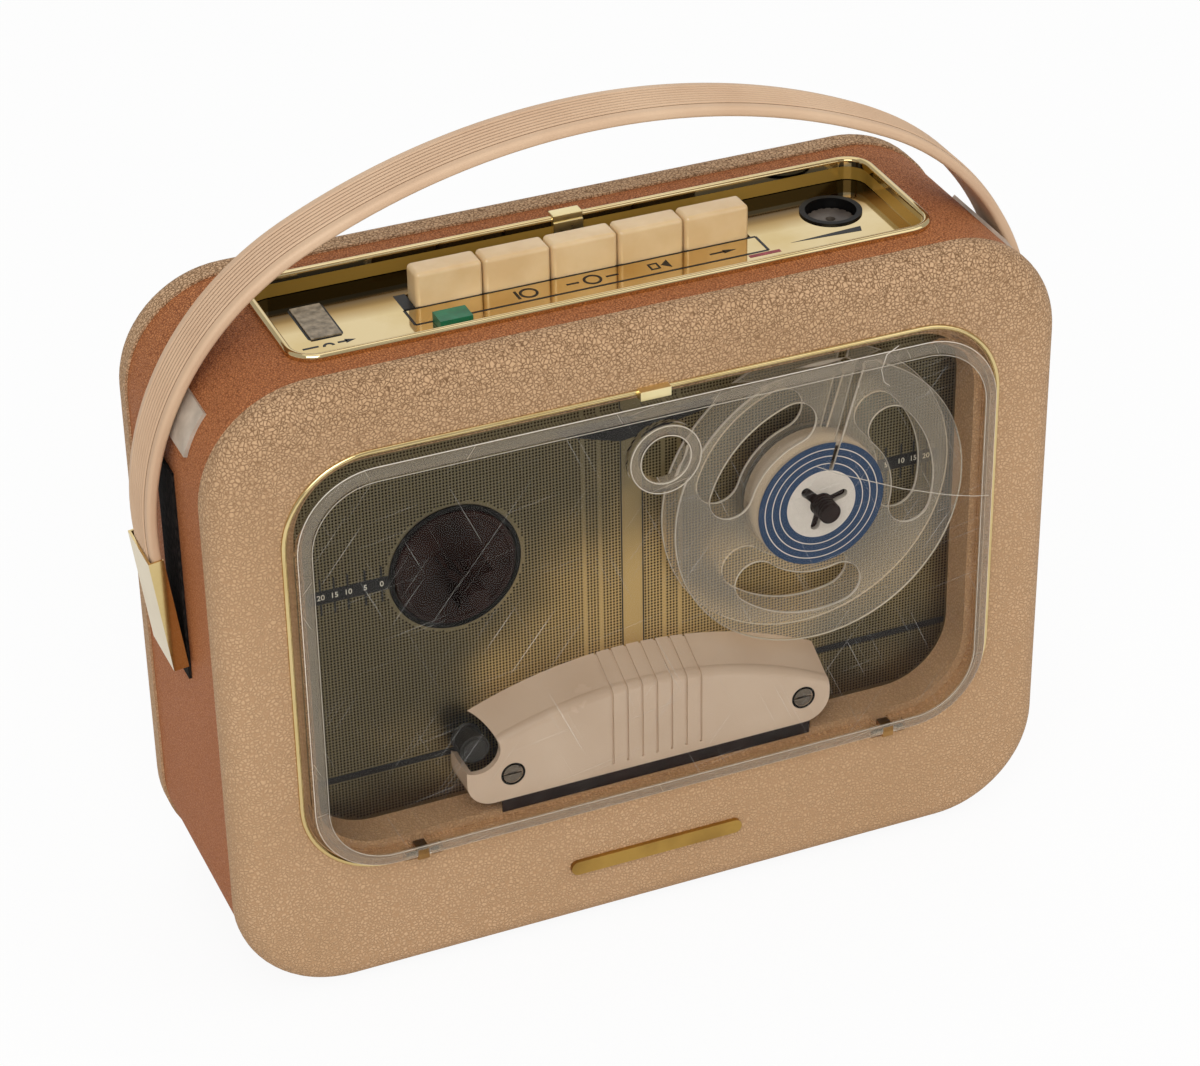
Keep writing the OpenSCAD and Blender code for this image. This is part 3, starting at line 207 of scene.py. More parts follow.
def clear_moulding(name, tint, clarity, gloss, index, wear):
    """Clear moulded plastic: lets the lamps through, with a few long hairline scratches."""
    width, stretch = 0.3, 150.0
    turns = ((38, 0.0), (-24, 0.31), (80, 0.67))
    material, tree, shader, place = surface(name, Base_Color=rgb(tint), IOR=index)
    lines = None
    for turn, shift in turns:
        along = add(tree, "ShaderNodeMapping", {
            "Vector": place, "Location": (shift, 0.0, shift), "Rotation": (0.0, math.radians(turn), 0.0),
            "Scale": (1.0, 1.0, stretch)}, vector_type="TEXTURE")
        hair = add(tree, "ShaderNodeTexNoise", {"Vector": along, "Scale": per_mm(width), "Detail": 0.0})
        line = add(tree, "ShaderNodeMapRange", {0: hair, 1: 0.8, 2: 0.88})
        if lines:
            line = add(tree, "ShaderNodeMath", {0: lines, 1: line}, operation="MAXIMUM")
        lines = line
    clear = add(tree, "ShaderNodeMapRange", {0: lines, 3: clarity, 4: clarity - wear})
    rough = add(tree, "ShaderNodeMapRange", {0: lines, 3: gloss, 4: gloss + 0.2})
    tree.links.new(clear.outputs[0], shader.inputs["Transmission Weight"])
    tree.links.new(rough.outputs[0], shader.inputs["Roughness"])
    path = add(tree, "ShaderNodeLightPath")
    gap = add(tree, "ShaderNodeBsdfTransparent", {"Color": rgb(tint)})
    blended(tree, path.outputs["Is Shadow Ray"], shader, gap)
    return material


def fibrous(name, light, dark, fibre, depth, gloss=0.9, **sockets):
    """Felt, card or pressed paper: matt, flecked with short fibres."""
    material, tree, shader, place = surface(name, Roughness=gloss, **sockets)
    long = add(tree, "ShaderNodeMapping", {"Vector": place, "Scale": (1.0, 1.0, 0.35)})
    flecks, tone = mottled(tree, long, fibre, detail=5.0, share=(0.35, 0.65), colours=(dark, light))
    coat(tree, shader, tone, None, flecks, strength=0.7, depth=depth)
    return material


def anodised(name, reflected_gold, olive):
    """Gold anodised sheet rolled upright, with a painted reflection: bright gold low in the middle, olive
    towards the corners.
    """
    reflection_x, reflection_z, wide = 3.75, 88.0, 0.8
    reflection_r, olive_r = 70.0, 150.0
    cloud_size, cloud_reach = 42, 130.0
    mark_size, mark_stretch, mark_depth = 0.6, 0.03, 0.004
    material, tree, shader, place = surface(name, Metallic=1.0)
    # Bright gold round a point low in the middle, olive further out: painted reflection
    reach = add(tree, "ShaderNodeMapping", {
        "Vector": place, "Location": (-reflection_x * wide * MM, 0.0, -reflection_z * MM), "Scale": (wide, 0.0, 1.0)})
    away = add(tree, "ShaderNodeVectorMath", {0: reach}, operation="LENGTH").outputs["Value"]
    cloud = add(tree, "ShaderNodeTexNoise", {"Vector": place, "Scale": per_mm(cloud_size), "Detail": 2.0})
    mixed = add(tree, "ShaderNodeMath", {0: cloud, 1: cloud_reach * MM, 2: away}, operation="MULTIPLY_ADD")
    fade = add(tree, "ShaderNodeMapRange", {0: mixed, 1: reflection_r * MM, 2: olive_r * MM},
               interpolation_type="SMOOTHSTEP")
    tone = add(tree, "ShaderNodeMix", {0: fade, 6: rgb(reflected_gold), 7: rgb(olive)}, data_type="RGBA")
    along = add(tree, "ShaderNodeMapping", {"Vector": place, "Scale": (1.0, 1.0, mark_stretch)})
    marks = add(tree, "ShaderNodeTexNoise", {"Vector": along, "Scale": per_mm(mark_size), "Detail": 3.0})
    shine = add(tree, "ShaderNodeMapRange", {0: marks, 3: 0.28, 4: 0.44})
    coat(tree, shader, tone.outputs[2], shine, marks, strength=0.3, depth=mark_depth)
    return material


def tray_plate():
    """Brass plate of the tray: walls in a half diffuse gold as a painted reflection, and a floor with painted
    reflection and shade, darker towards the back.
    """
    # Bands over the floor towards the back, gold and then near black: painted reflection of the wall and
    # painted shade
    painted_floor_bands = ((1.5, 10.0, "#9C7838"), (8.0, 16.0, "#120A04"))
    wall_low, wall_high = TRAY_FLOOR + 0.2, TRAY_FLOOR + 4.6
    # Walls: a half diffuse gold, lit by the lamps, that stands for the gold they mirror: painted reflection
    wall_gold, wall_metal = "#C39A45", 0.45
    material = metal("brass_plate_painted_reflection", "#DCC798", "#D2B981", 0.06)
    tree = material.node_tree
    shader = tree.nodes["Principled BSDF"]
    tone = shader.inputs["Base Color"].links[0].from_socket
    place = add(tree, "ShaderNodeTexCoord").outputs["Object"]
    spot = add(tree, "ShaderNodeSeparateXYZ", {0: place}).outputs
    on_floor = add(tree, "ShaderNodeMath", {0: spot["Z"], 1: wall_low * MM}, operation="LESS_THAN")
    for front, back, band_colour in painted_floor_bands:
        depth = add(tree, "ShaderNodeMapRange", {0: spot["Y"], 1: front * MM, 2: back * MM})
        share = add(tree, "ShaderNodeMath", {0: depth, 1: on_floor}, operation="MULTIPLY")
        banded = add(tree, "ShaderNodeMix", {0: share, 6: tone, 7: rgb(band_colour)}, data_type="RGBA")
        tone = banded.outputs[2]
    under_rim = add(tree, "ShaderNodeMath", {0: spot["Z"], 1: wall_high * MM}, operation="LESS_THAN")
    wall = add(tree, "ShaderNodeMath", {0: under_rim, 1: on_floor}, operation="SUBTRACT")
    wall_toned = add(tree, "ShaderNodeMix", {0: wall, 6: tone, 7: rgb(wall_gold)}, data_type="RGBA")
    bare = add(tree, "ShaderNodeMapRange", {0: wall, 3: 1.0, 4: wall_metal})
    tree.links.new(wall_toned.outputs[2], shader.inputs["Base Color"])
    tree.links.new(bare.outputs[0], shader.inputs["Metallic"])
    return material


def reel_paper():
    """Printed paper disc: white centre, blue ring with three fine white circles, paper fibres in the ink."""
    centre_r, circles, line = 11.9, (14.4, 17.0, 19.5), 0.34
    fibre_size, fibre_depth = 0.8, 0.02
    material, tree, shader, place = surface("printed_paper", Roughness=0.55)
    centred = add(tree, "ShaderNodeMapping", {
        "Vector": place, "Location": (-SPOOL_X * MM, 0, -SPOOL_Z * MM), "Scale": (1.0, 0.0, 1.0)})
    radius = add(tree, "ShaderNodeVectorMath", {0: centred}, operation="LENGTH").outputs["Value"]
    white = add(tree, "ShaderNodeMath", {0: radius, 1: centre_r * MM}, operation="LESS_THAN")
    for r in circles:
        drawn = add(tree, "ShaderNodeMath", {0: radius, 1: r * MM, 2: line / 2 * MM}, operation="COMPARE")
        white = add(tree, "ShaderNodeMath", {0: white, 1: drawn}, operation="MAXIMUM")
    fibre = add(tree, "ShaderNodeTexNoise", {"Vector": place, "Scale": per_mm(fibre_size), "Detail": 4.0})
    blue = add(tree, "ShaderNodeMix", {0: fibre, 6: rgb("#0C2A4E"), 7: rgb("#173D66")}, data_type="RGBA")
    pale = add(tree, "ShaderNodeMix", {0: fibre, 6: rgb("#CFC7C0"), 7: rgb("#DED7D0")}, data_type="RGBA")
    tone = add(tree, "ShaderNodeMix", {0: white, 6: blue.outputs[2], 7: pale.outputs[2]}, data_type="RGBA")
    coat(tree, shader, tone.outputs[2], None, fibre, strength=0.3, depth=fibre_depth)
    return material


finish = {
    # Cream leathercloth of the two shells, dull, with a coarse pebble: painted shade in its valleys, and
    # creases darkened near the top by dirt and painted shade
    "cream_cover": leathercloth("cream_leathercloth", "#C7A37F", "#BE9A75", "#AF8B68", "#6E5238", 1.2, 0.3),
    # Brown leathercloth of the band, with a finer and flatter grain, painted shade in its valleys, and
    # creases darkened near the top by dirt and painted shade
    "brown_cover": leathercloth("brown_leathercloth", "#BA794C", "#B17044", "#9C5D37", "#74452B", 0.9, 0.18),
    # Polished brass plate of the window trim and the caps: sharp pale gold reflections
    "gilt": metal("polished_brass_plate", "#DCC590", "#D0B67C", 0.07),
    # Gold anodised aluminium of the perforated deck, rolled upright: blurred reflections, and a bright gold
    # patch low in the middle that is a painted reflection
    "gilt_deck": anodised("gold_anodised_aluminium", "#BFA26E", "#6C634E"),
    # Acrylic of the cover, clear, with fine wear. Its low index keeps the deck behind it in view
    "clear": clear_moulding("clear_acrylic", "#FCFAF6", 1.0, 0.01, 1.14, 0.25),
    # Polystyrene of the reel, a little milky
    "clear_reel": clear_moulding("clear_polystyrene", "#F8F3EA", 0.945, 0.015, 1.25, 0.15),
    # Printed paper on the reel's hub, half matt
    "label": reel_paper(),
    # Phenolic moulding of the turntables, nearly black brown and glossy
    "dark_moulding": moulded("brown_phenolic", "#271815", "#190F0D", 14, 0.22, 8, 0.01,
                             Specular_IOR_Level=0.12),
    # Black enamelled metal and ebonite, with a soft shine
    "black_trim": moulded("black_enamel", "#121110", "#0A0909", 12, 0.35, depth=0.006,
                          Specular_IOR_Level=0.12),
    # Urea moulding of the keys, softly mottled ivory, polished
    "ivory": moulded("ivory_urea", "#DEC398", "#D2B385", 16, 0.16, depth=0.006, Subsurface_Weight=0.12,
                     Subsurface_Radius=(0.003, 0.002, 0.001)),
    # Cream polystyrene of the head cover, satin
    "head_moulding": moulded("cream_polystyrene", "#D3BDA9", "#CAB29D", 26, 0.24, depth=0.01),
    # Soft vinyl of the carrying strap, half matt
    "strap_plastic": moulded("cream_vinyl", "#D0B192", "#C8A788", 30, 0.5, Specular_IOR_Level=0.3),
    # Grey white plastic of the rub plates, cloudy
    "grey_plastic": moulded("grey_white_plastic", "#C4B5A4", "#A99B8B", 7, 0.4),
    # Dyed plastic of the lock tab, deep green
    "green": moulded("green_plastic", "#0F7350", "#075C3E", 5, 0.35),
    # Black felt behind the strap, matt and flecked with lint; its black also stands for the shade between
    # strap and case, painted shade
    "felt": fibrous("black_felt", "#2A2522", "#060505", 0.7, 0.5, Specular_IOR_Level=0.1),
    # Smoked celluloid over the level indicator, creased and cloudy
    "lens": fibrous("smoked_celluloid", "#9A8B73", "#63563F", 2.4, 0.3, gloss=0.35),
    # Black rubber of the feet and rollers, dull
    "rubber": moulded("black_rubber", "#25221F", "#171513", 8, 0.62),
    # Nickel plated steel of pins and shafts, pale grey with a blurred shine
    "steel": metal("nickel_plated_steel", "#B9B6B0", "#8F8B85", 0.25),
    # Zinc plated sheet of the chassis, grey and dull
    "plated_sheet": metal("zinc_plated_sheet", "#A5A39A", "#85837B", 0.4),
    # Sintered bronze of bearings and hinge ears, brown and dull
    "bronze": metal("sintered_bronze", "#A9814E", "#86633A", 0.4),
    # Pressed pulp of the loudspeaker's cone, dark and matt
    "paper_cone": fibrous("pulp_cone", "#4A433C", "#2F2A26", 1.2, 0.1),
    # Resin bonded paper board of the amplifier, brown and half matt
    "board": fibrous("resin_bonded_board", "#8A5A2C", "#6E4521", 1.5, 0.05, gloss=0.5),
    # Silvered glass of the valves, bright and smooth
    "bulb": moulded("silvered_glass", "#C9CCD0", "#8E9296", 6, 0.12),
    # Printed card round the batteries, rust red and half matt
    "cell_card": fibrous("printed_card", "#8D3B2C", "#74301F", 1.0, 0.03, gloss=0.6),
}
# Clear plastic that isn't quite clear: pale moulded edges, clouded and with a painted highlight, hazed border
# of the cover, also laid on the finger ring as a painted highlight, wall of the reel's hub
clouded_edge_and_highlight = clear_moulding("clouded_edge_painted_highlight", "#F2EBE1", 0.5, 0.2, 1.4, 0.1)
haze_and_highlight_clear = clear_moulding("hazed_acrylic", "#E0D8CC", 0.84, 0.12, 1.15, 0.2)
hub_clear = clear_moulding("milky_polystyrene", "#EDE3D6", 0.62, 0.15, 1.3, 0.1)
# Vinyl of the strap's floor, in the shade of the ribs
strap_floor = moulded("shaded_vinyl", "#7C6049", "#6F543E", 30, 0.6, Specular_IOR_Level=0.2)
# Brass with a soft shine, for small folded clips
satin_brass = metal("satin_brass", "#F0E0AE", "#E2CE93", 0.3)
# Matt dark for the depth behind a hole, black print with a soft shine, and white and red ink
hole_dark = moulded("hole_shadow", "#0E0B08", "#080605", 20, 0.9, Specular_IOR_Level=0.1)
print_black = moulded("black_print", "#151415", "#0E0D0E", 14, 0.38, Specular_IOR_Level=0.3)
print_white = moulded("white_ink", "#D9D4C8", "#C4BEB0", 3, 0.5)
print_red = moulded("red_ink", "#97303A", "#84262F", 3, 0.45)

for node in nodes.values():
    for entry in node.material_slots:
        entry.material = finish[entry.material.name]
# Pieces whose own surface differs from their slot's
own = {
    # Tray plate with painted reflection on its walls, and painted reflection and shade on its floor
    "control_tray": tray_plate(),
    # Grey plastic painted darker for the shade of the cup it sits in
    "volume_knob": moulded("dark_grey_plastic", "#5F564D", "#453D36", 7, 0.4),
    # Steel painted dark for the shade of the counterbores the screws sit in
    "head_screws": metal("darkened_steel", "#756C62", "#4A433C", 0.35),
    # Cast brass with an old, dull gilding
    "gilt_bar": metal("aged_brass", "#B9954E", "#92703A", 0.32),
    "cover_clip": satin_brass,
}
for name, material in own.items():
    nodes[name].material_slots[0].material = material


# Mesh makers

WELD = 0.0001
INK = 0.05


def piece(name, mesh, material, body):
    """A finished mesh as a piece of the object that rides on a body."""
    obj = bpy.data.objects.new(name, mesh)
    scene.collection.objects.link(obj)
    mesh.materials.clear()
    mesh.materials.append(material)
    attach(obj, body)
    return obj


def made(name, data, tree=None, sizes=None, values=None):
    """The plain mesh of a curve or a text, or what a geometry tree makes of its data with these values."""
    maker = bpy.data.objects.new(name, data)
    scene.collection.objects.link(maker)
    if tree:
        modifier = maker.modifiers.new(name, "NODES")
        modifier.node_group = tree
        for key, value in values.items():
            modifier[sizes[key]] = value
    bpy.context.view_layer.update()
    ready = maker.evaluated_get(bpy.context.evaluated_depsgraph_get())
    mesh = bpy.data.meshes.new_from_object(ready)
    bpy.data.objects.remove(maker)
    if isinstance(data, bpy.types.Curve):
        bpy.data.curves.remove(data)
    return mesh


def geometry_tree(name, inputs):
    """A geometry tree with these inputs, the keys that a modifier knows them by, and their outputs inside."""
    tree = bpy.data.node_groups.new(name, "GeometryNodeTree")
    sizes = {}
    for label, kind in inputs:
        entry = tree.interface.new_socket(label, in_out="INPUT", socket_type="NodeSocket" + kind)
        sizes[label] = entry.identifier
    tree.interface.new_socket("Geometry", in_out="OUTPUT", socket_type="NodeSocketGeometry")
    return tree, sizes, add(tree, "NodeGroupInput").outputs


def set_out(tree, points, shape, material):
    """Ends a geometry tree: a real copy of a shape on every point, painted."""
    copies = add(tree, "GeometryNodeInstanceOnPoints", {"Points": points, "Instance": shape})
    real = add(tree, "GeometryNodeRealizeInstances", {0: copies})
    painted = add(tree, "GeometryNodeSetMaterial", {"Geometry": real, "Material": material})
    add(tree, "NodeGroupOutput", {0: painted})


def route(curve, points, closed):
    """A run of straight stretches through points, added to a curve."""
    spline = curve.splines.new("POLY")
    spline.points.add(len(points) - 1)
    for point, (x, y, z) in zip(spline.points, points):
        point.co = (x * MM, y * MM, z * MM, 1)
    spline.use_cyclic_u = closed


def sheet(outlines, thickness, edge=0.0):
    """Flat sheet in the XY plane from closed outlines, with holes where they nest. Its back is at 0."""
    curve = bpy.data.curves.new("outline", "CURVE")
    curve.dimensions = "2D"
    curve.fill_mode = "BOTH"
    curve.extrude = (thickness / 2 - edge) * MM
    curve.bevel_depth = edge * MM
    curve.offset = -edge * MM
    curve.bevel_resolution = 2
    for outline in outlines:
        route(curve, [(u, v, 0) for u, v in outline], True)
    mesh = made("outline", curve)
    mesh.transform(Matrix.Translation((0, 0, thickness / 2 * MM)))
    return mesh


def tube(points, r, closed=False):
    """A round thread through points."""
    curve = bpy.data.curves.new("thread", "CURVE")
    curve.dimensions = "3D"
    curve.bevel_depth = r * MM
    curve.bevel_resolution = 3
    curve.use_fill_caps = True
    route(curve, points, closed)
    mesh = made("thread", curve)
    mesh.shade_smooth()
    return mesh


def numeral(text, x, y, size, thickness):
    """A printed number, centred on a point of the XY plane."""
    font = bpy.data.curves.new("numeral", "FONT")
    font.body = text
    font.size = size * MM
    font.align_x = "CENTER"
    font.align_y = "CENTER"
    font.extrude = thickness / 2 * MM
    mesh = made("numeral", font)
    mesh.transform(Matrix.Translation((x * MM, y * MM, thickness / 2 * MM)))
    return mesh


def plain(bm):
    """A finished bmesh as a mesh."""
    mesh = bpy.data.meshes.new("plain")
    bm.to_mesh(mesh)
    bm.free()
    return mesh


def block(low, high, soft):
    """A block between two corners with all its edges rounded."""
    bm = bmesh.new()
    bmesh.ops.create_cube(bm, size=1.0)
    for vert in bm.verts:
        vert.co = [((a + b) / 2 + c * (b - a)) * MM for a, b, c in zip(low, high, vert.co)]
    bmesh.ops.bevel(bm, geom=bm.edges[:], offset=soft * MM, segments=5, profile=0.5, affect="EDGES")
    for face in bm.faces:
        face.smooth = True
    return plain(bm)


def join(meshes):
    """Several meshes as one, with doubled points merged."""
    bm = bmesh.new()
    for mesh in meshes:
        bm.from_mesh(mesh)
        bpy.data.meshes.remove(mesh)
    bmesh.ops.remove_doubles(bm, verts=bm.verts, dist=WELD * MM)
    return plain(bm)


def facing_front(depth):
    """Stands a sheet up: its X stays, its Y becomes height, and its front looks along -Y from this depth."""
    return Matrix.Translation((0, depth * MM, 0)) @ Matrix.Rotation(math.pi / 2, 4, "X")


# Outlines

def arc(x, y, r, start, end, steps):
    """Points round a centre, from one angle to another in degrees."""
    angles = [math.radians(start + (end - start) * i / steps) for i in range(steps + 1)]
    return [(x + r * math.cos(a), y + r * math.sin(a)) for a in angles]


def circle(x, y, r, steps=72):
    return arc(x, y, r, 0, 360, steps)[:-1]


def ring(x, y, r, width):
    return [circle(x, y, r + width / 2, 32), circle(x, y, r - width / 2, 32)]


def bar(x1, y1, x2, y2):
    return [(x1, y1), (x2, y1), (x2, y2), (x1, y2)]


def rounded(left, base, right, top, r, steps=6):
    """A rectangle with round corners."""
    points = []
    for x, y, start in ((right - r, top - r, 0), (left + r, top - r, 90),
                        (left + r, base + r, 180), (right - r, base + r, 270)):
        points += arc(x, y, r, start, start + 90, steps)
    return points


def stroke(x1, y1, x2, y2, width):
    """A straight printed line of some width."""
    length = math.hypot(x2 - x1, y2 - y1)
    nx, ny = -(y2 - y1) / length * width / 2, (x2 - x1) / length * width / 2
    return [(x1 + nx, y1 + ny), (x1 - nx, y1 - ny), (x2 - nx, y2 - ny), (x2 + nx, y2 + ny)]


def moved(points, x, y):
    return [(x + u, y + v) for u, v in points]


# Reel, with the soft edges of its moulding

REEL_R, HUB_R, HUB_WALL, BOSS_R = 50.0, 22.0, 2.0, 12.0
WINDOW_IN, WINDOW_OUT, WINDOW_HALF = 25.0, 39.5, 28.0
LOBES = (15, 135, 255)
LOBE_END, LOBE_HALF, BORE_R = 7.7, 1.6, 3.9
SLIT_TURN, SLIT_R, SLIT_HALF = 75, 12.0, 0.8
FLANGE_T, FLANGE_EDGE = 1.2, 0.4
FLAT_FACE = 0.95


def turned(points, degrees):
    """Points turned about the origin and moved to the reel's axis."""
    c, s = math.cos(math.radians(degrees)), math.sin(math.radians(degrees))
    return [(SPOOL_X + u * c - v * s, SPOOL_Z + u * s + v * c) for u, v in points]


def reel_outlines():
    """Front view of a flange: rim with its slit, three kidney windows, and the bore with its three lobes."""
    gap = math.degrees(2 * SLIT_HALF / REEL_R)
    rim = arc(0, 0, REEL_R, gap, 360 - gap, 140) + [(SLIT_R, -SLIT_HALF), (SLIT_R, SLIT_HALF)]
    end_r = (WINDOW_OUT - WINDOW_IN) / 2
    middle_r = (WINDOW_OUT + WINDOW_IN) / 2
    half = math.radians(WINDOW_HALF)
    end_x, end_y = middle_r * math.cos(half), middle_r * math.sin(half)
    window = (arc(0, 0, WINDOW_OUT, -WINDOW_HALF, WINDOW_HALF, 24)
              + arc(end_x, end_y, end_r, WINDOW_HALF, WINDOW_HALF + 180, 16)[1:-1]
              + arc(0, 0, WINDOW_IN, WINDOW_HALF, -WINDOW_HALF, 24)
              + arc(end_x, -end_y, end_r, 180 - WINDOW_HALF, 360 - WINDOW_HALF, 16)[1:-1])
    rise = math.degrees(math.asin(LOBE_HALF / BORE_R))
    lobe = arc(LOBE_END, 0, LOBE_HALF, -90, 90, 10) + arc(0, 0, BORE_R, rise, 120 - rise, 12)
    bore = [point for turn in LOBES for point in turned(lobe, turn)]
    return turned(rim, SLIT_TURN), [turned(window, turn) for turn in LOBES], bore


def reel_mould():
    """Two flanges with round edges, clouded and pale as a painted highlight, and the hub's wall and boss
    between them.
    """
    rim, windows, bore = reel_outlines()
    for side in ("front", "back"):
        node = "reel_" + side + "_flange"
        flange = sheet([rim, *windows, bore], FLANGE_T, FLANGE_EDGE)
        flange.transform(facing_front(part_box(node)[1].y / MM))
        shown = piece(side + "_flange", flange, finish["clear_reel"], "right_spool")
        # Round edge faces take the pale clouded material: painted highlight
        flange.materials.append(clouded_edge_and_highlight)
        for face in flange.polygons:
            face.material_index = int(abs(face.normal.y) < FLAT_FACE)
        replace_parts(shown, node)
    low, high = (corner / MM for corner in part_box("reel_hub"))
    rings = ([circle(SPOOL_X, SPOOL_Z, HUB_R), circle(SPOOL_X, SPOOL_Z, HUB_R - HUB_WALL)],
             [circle(SPOOL_X, SPOOL_Z, BOSS_R), bore])
    hub = join([sheet(outlines, high.y - low.y) for outlines in rings])
    hub.transform(facing_front(high.y))
    wall = piece("hub_wall", hub, hub_clear, "right_spool")
    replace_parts(wall, "reel_hub")


# Window trim and clear cover

BEAD_R, BEAD_TURN = 0.9, 28.0
EAR_X, EAR_W, EAR_UNDER, EAR_OVER, EAR_BACK = 81.0, 4.0, 2.6, 1.5, 0.8
FOLD_SOFT = 0.3
COVER_TURN = 25.6
# Pale lines on the cover's moulded edges, painted highlights: inset from its side, depth behind its front,
# radius
COVER_LINES = ((0.3, 1.2, 0.18), (4.4, 0.1, 0.12))
HAZE_IN, HAZE_OUT, HAZE_T, HAZE_DEPTH = 4.4, 0.9, 0.3, 1.4
RING_X, RING_Z, RING_EDGES, RING_LINE = 1.9, 173.2, (8.3, 11.6), 0.2
# Two cracks across the cover, as X and Z
CRACK_R = 0.14
CRACKS = (
    ((52.5, 158.3), (59.8, 154.0), (70.3, 148.8), (82.6, 142.8), (98.7, 136.5), (108.0, 133.7),
     (113.5, 132.6)),
    ((79.6, 194.6), (75.6, 192.4), (73.9, 187.5), (74.9, 183.0), (76.9, 181.2)),
)


def frame_path(low, high, inset, turn):
    """Points round the front view of a box, this far inside it, with round corners."""
    return rounded(low.x + inset, low.z + inset, high.x - inset, high.z - inset, turn, 16)


def trim_bead():
    """Round gilt bead that runs round the window's edge, and the two ears that hold the hinge pins."""
    low, high = (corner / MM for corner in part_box("window_trim"))
    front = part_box("front_shell")[0].y / MM
    path = frame_path(low, high, BEAD_R, BEAD_TURN)
    mesh = tube([(x, front, z) for x, z in path], BEAD_R, True)
    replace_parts(piece("window_bead", mesh, finish["gilt"], "case"), "window_trim")
    pin_z = middle("hinge_pins").z
    ears = []
    for x in (-EAR_X, EAR_X):
        ears.append(block((x - EAR_W / 2, low.y, pin_z - EAR_UNDER),
                          (x + EAR_W / 2, front + EAR_BACK, pin_z + EAR_OVER), FOLD_SOFT))
    piece("hinge_ears", join(ears), finish["bronze"], "case")


def cover_lines():
    """Pale lines on the moulded edges of the clear cover and its finger ring, as painted highlights, its
    hairline cracks, and its hazed border, with a hazed band on the ring as a painted highlight.
    """
    low, high = (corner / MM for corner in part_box("window_cover"))
    threads = [tube([(x, low.y + CRACK_R, z) for x, z in crack], CRACK_R) for crack in CRACKS]
    for inset, depth, r in COVER_LINES:
        path = frame_path(low, high, inset + r, COVER_TURN - inset)
        threads.append(tube([(x, low.y + depth + r, z) for x, z in path], r, True))
    rims = [circle(RING_X, RING_Z, edge) for edge in RING_EDGES]
    threads += [tube([(x, low.y + RING_LINE, z) for x, z in rim], RING_LINE, True) for rim in rims]
    piece("cover_lines", join(threads), clouded_edge_and_highlight, "cover")
    border = [frame_path(low, high, inset, COVER_TURN - inset) for inset in (HAZE_OUT, HAZE_IN)]
    # The hazed band on the finger ring stands for its soft pale highlights: painted highlight
    haze = join([sheet(outlines, HAZE_T, HAZE_T / 3) for outlines in (border, rims)])
    haze.transform(facing_front(low.y + HAZE_DEPTH))
    piece("cover_haze", haze, haze_and_highlight_clear, "cover")


# Keys and small fittings

KEY_TALL, KEY_SOFT = 20.2, 1.5
STEM_W, STEM_T, STEM_SUNK, STEM_SOFT = 6.0, 2.0, 1.0, 0.2
CAP_R, CAP_T = 4.0, 0.5
# Sleeve and its tab on the tray's back rim, as distances from the tray's back and above its floor
SLEEVE_X, SLEEVE_W = 2.5, 10.0
SLEEVE_FOLDS = (((-4.0, 4.5), (0.4, 8.2)), ((-4.5, 0.5), (-3.1, 6.0)))
LIP_LEFT, LIP_RIGHT, LIP_UNDER, LIP_TOP = 1.0, 0.5, 1.7, 0.1
LIP_FRONT, LIP_BACK, LIP_SOFT = 0.9, 0.05, 0.2
SCREW_AT, SHADE_R, SHADE_W = ((-47.5, 65.8), (53.6, 66.3)), 3.7, 0.8


def roller_cap():
    """Dark face on the end of the tape roller."""
    axis = middle("guide_roller")
    disc = sheet([circle(axis.x, axis.z, CAP_R)], CAP_T, CAP_T / 3)
    disc.transform(facing_front(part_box("guide_roller")[0].y / MM))
    piece("roller_cap", disc, finish["rubber"], "tape_roller")


def keys():
    """Ivory caps with soft edges on flat stems."""
    for body in ("rewind", "record", "stop", "play", "forward"):
        low, high = (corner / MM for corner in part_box(body + "_key"))
        base = high.z - KEY_TALL
        cap = block((low.x, low.y, base), high, KEY_SOFT)
        mid = (low + high) / 2
        stem = block((mid.x - STEM_W / 2, mid.y - STEM_T / 2, low.z),
                     (mid.x + STEM_W / 2, mid.y + STEM_T / 2, base + STEM_SUNK), STEM_SOFT)
        shown = piece(body + "_cap", join([cap, stem]), finish["ivory"], body)
        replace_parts(shown, body + "_key")


def small_fittings():
    """Folded sleeve over the joint of the tray's rim, dark lip under the head cover that also stands for part
    of the shade beneath it, shade round its screws.
    """
    left, right = SLEEVE_X - SLEEVE_W / 2, SLEEVE_X + SLEEVE_W / 2
    folds = []
    for (front, base), (back, top) in SLEEVE_FOLDS:
        folds.append(block((left, TRAY_BACK + front, TRAY_FLOOR + base),
                           (right, TRAY_BACK + back, TRAY_FLOOR + top), FOLD_SOFT))
    piece("rim_sleeve", join(folds), satin_brass, "case")
    low, high = (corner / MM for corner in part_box("head_base"))
    # Dark lip under the head cover: the plinth's edge, made deeper as painted shade under the cover
    lip = block((low.x - LIP_LEFT, low.y - LIP_FRONT, low.z - LIP_UNDER),
                (high.x - LIP_RIGHT, low.y - LIP_BACK, high.z - LIP_TOP), LIP_SOFT)
    piece("plinth_lip", lip, finish["dark_moulding"], "case")
    shade = join([sheet(ring(x, z, SHADE_R, SHADE_W), INK) for x, z in SCREW_AT])
    shade.transform(facing_front(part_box("head_cover")[0].y / MM))
    piece("screw_shade", shade, hole_dark, "case")


# Perforation of the deck

HOLE_PITCH = 1.08
HOLE_R = 0.39
HOLE_SIDES = 6
DECK_CORNER = 22.6
DECK_MARGIN = 0.9
SPOOL_RING_R, SPOOL_MARGIN = 21.6, 1.2
# Columns left bare: three on each side of the middle one, and two more
BARE_HALF = 3
BARE_COLUMNS = (10, 15)
HOLE_LIFT = 0.02


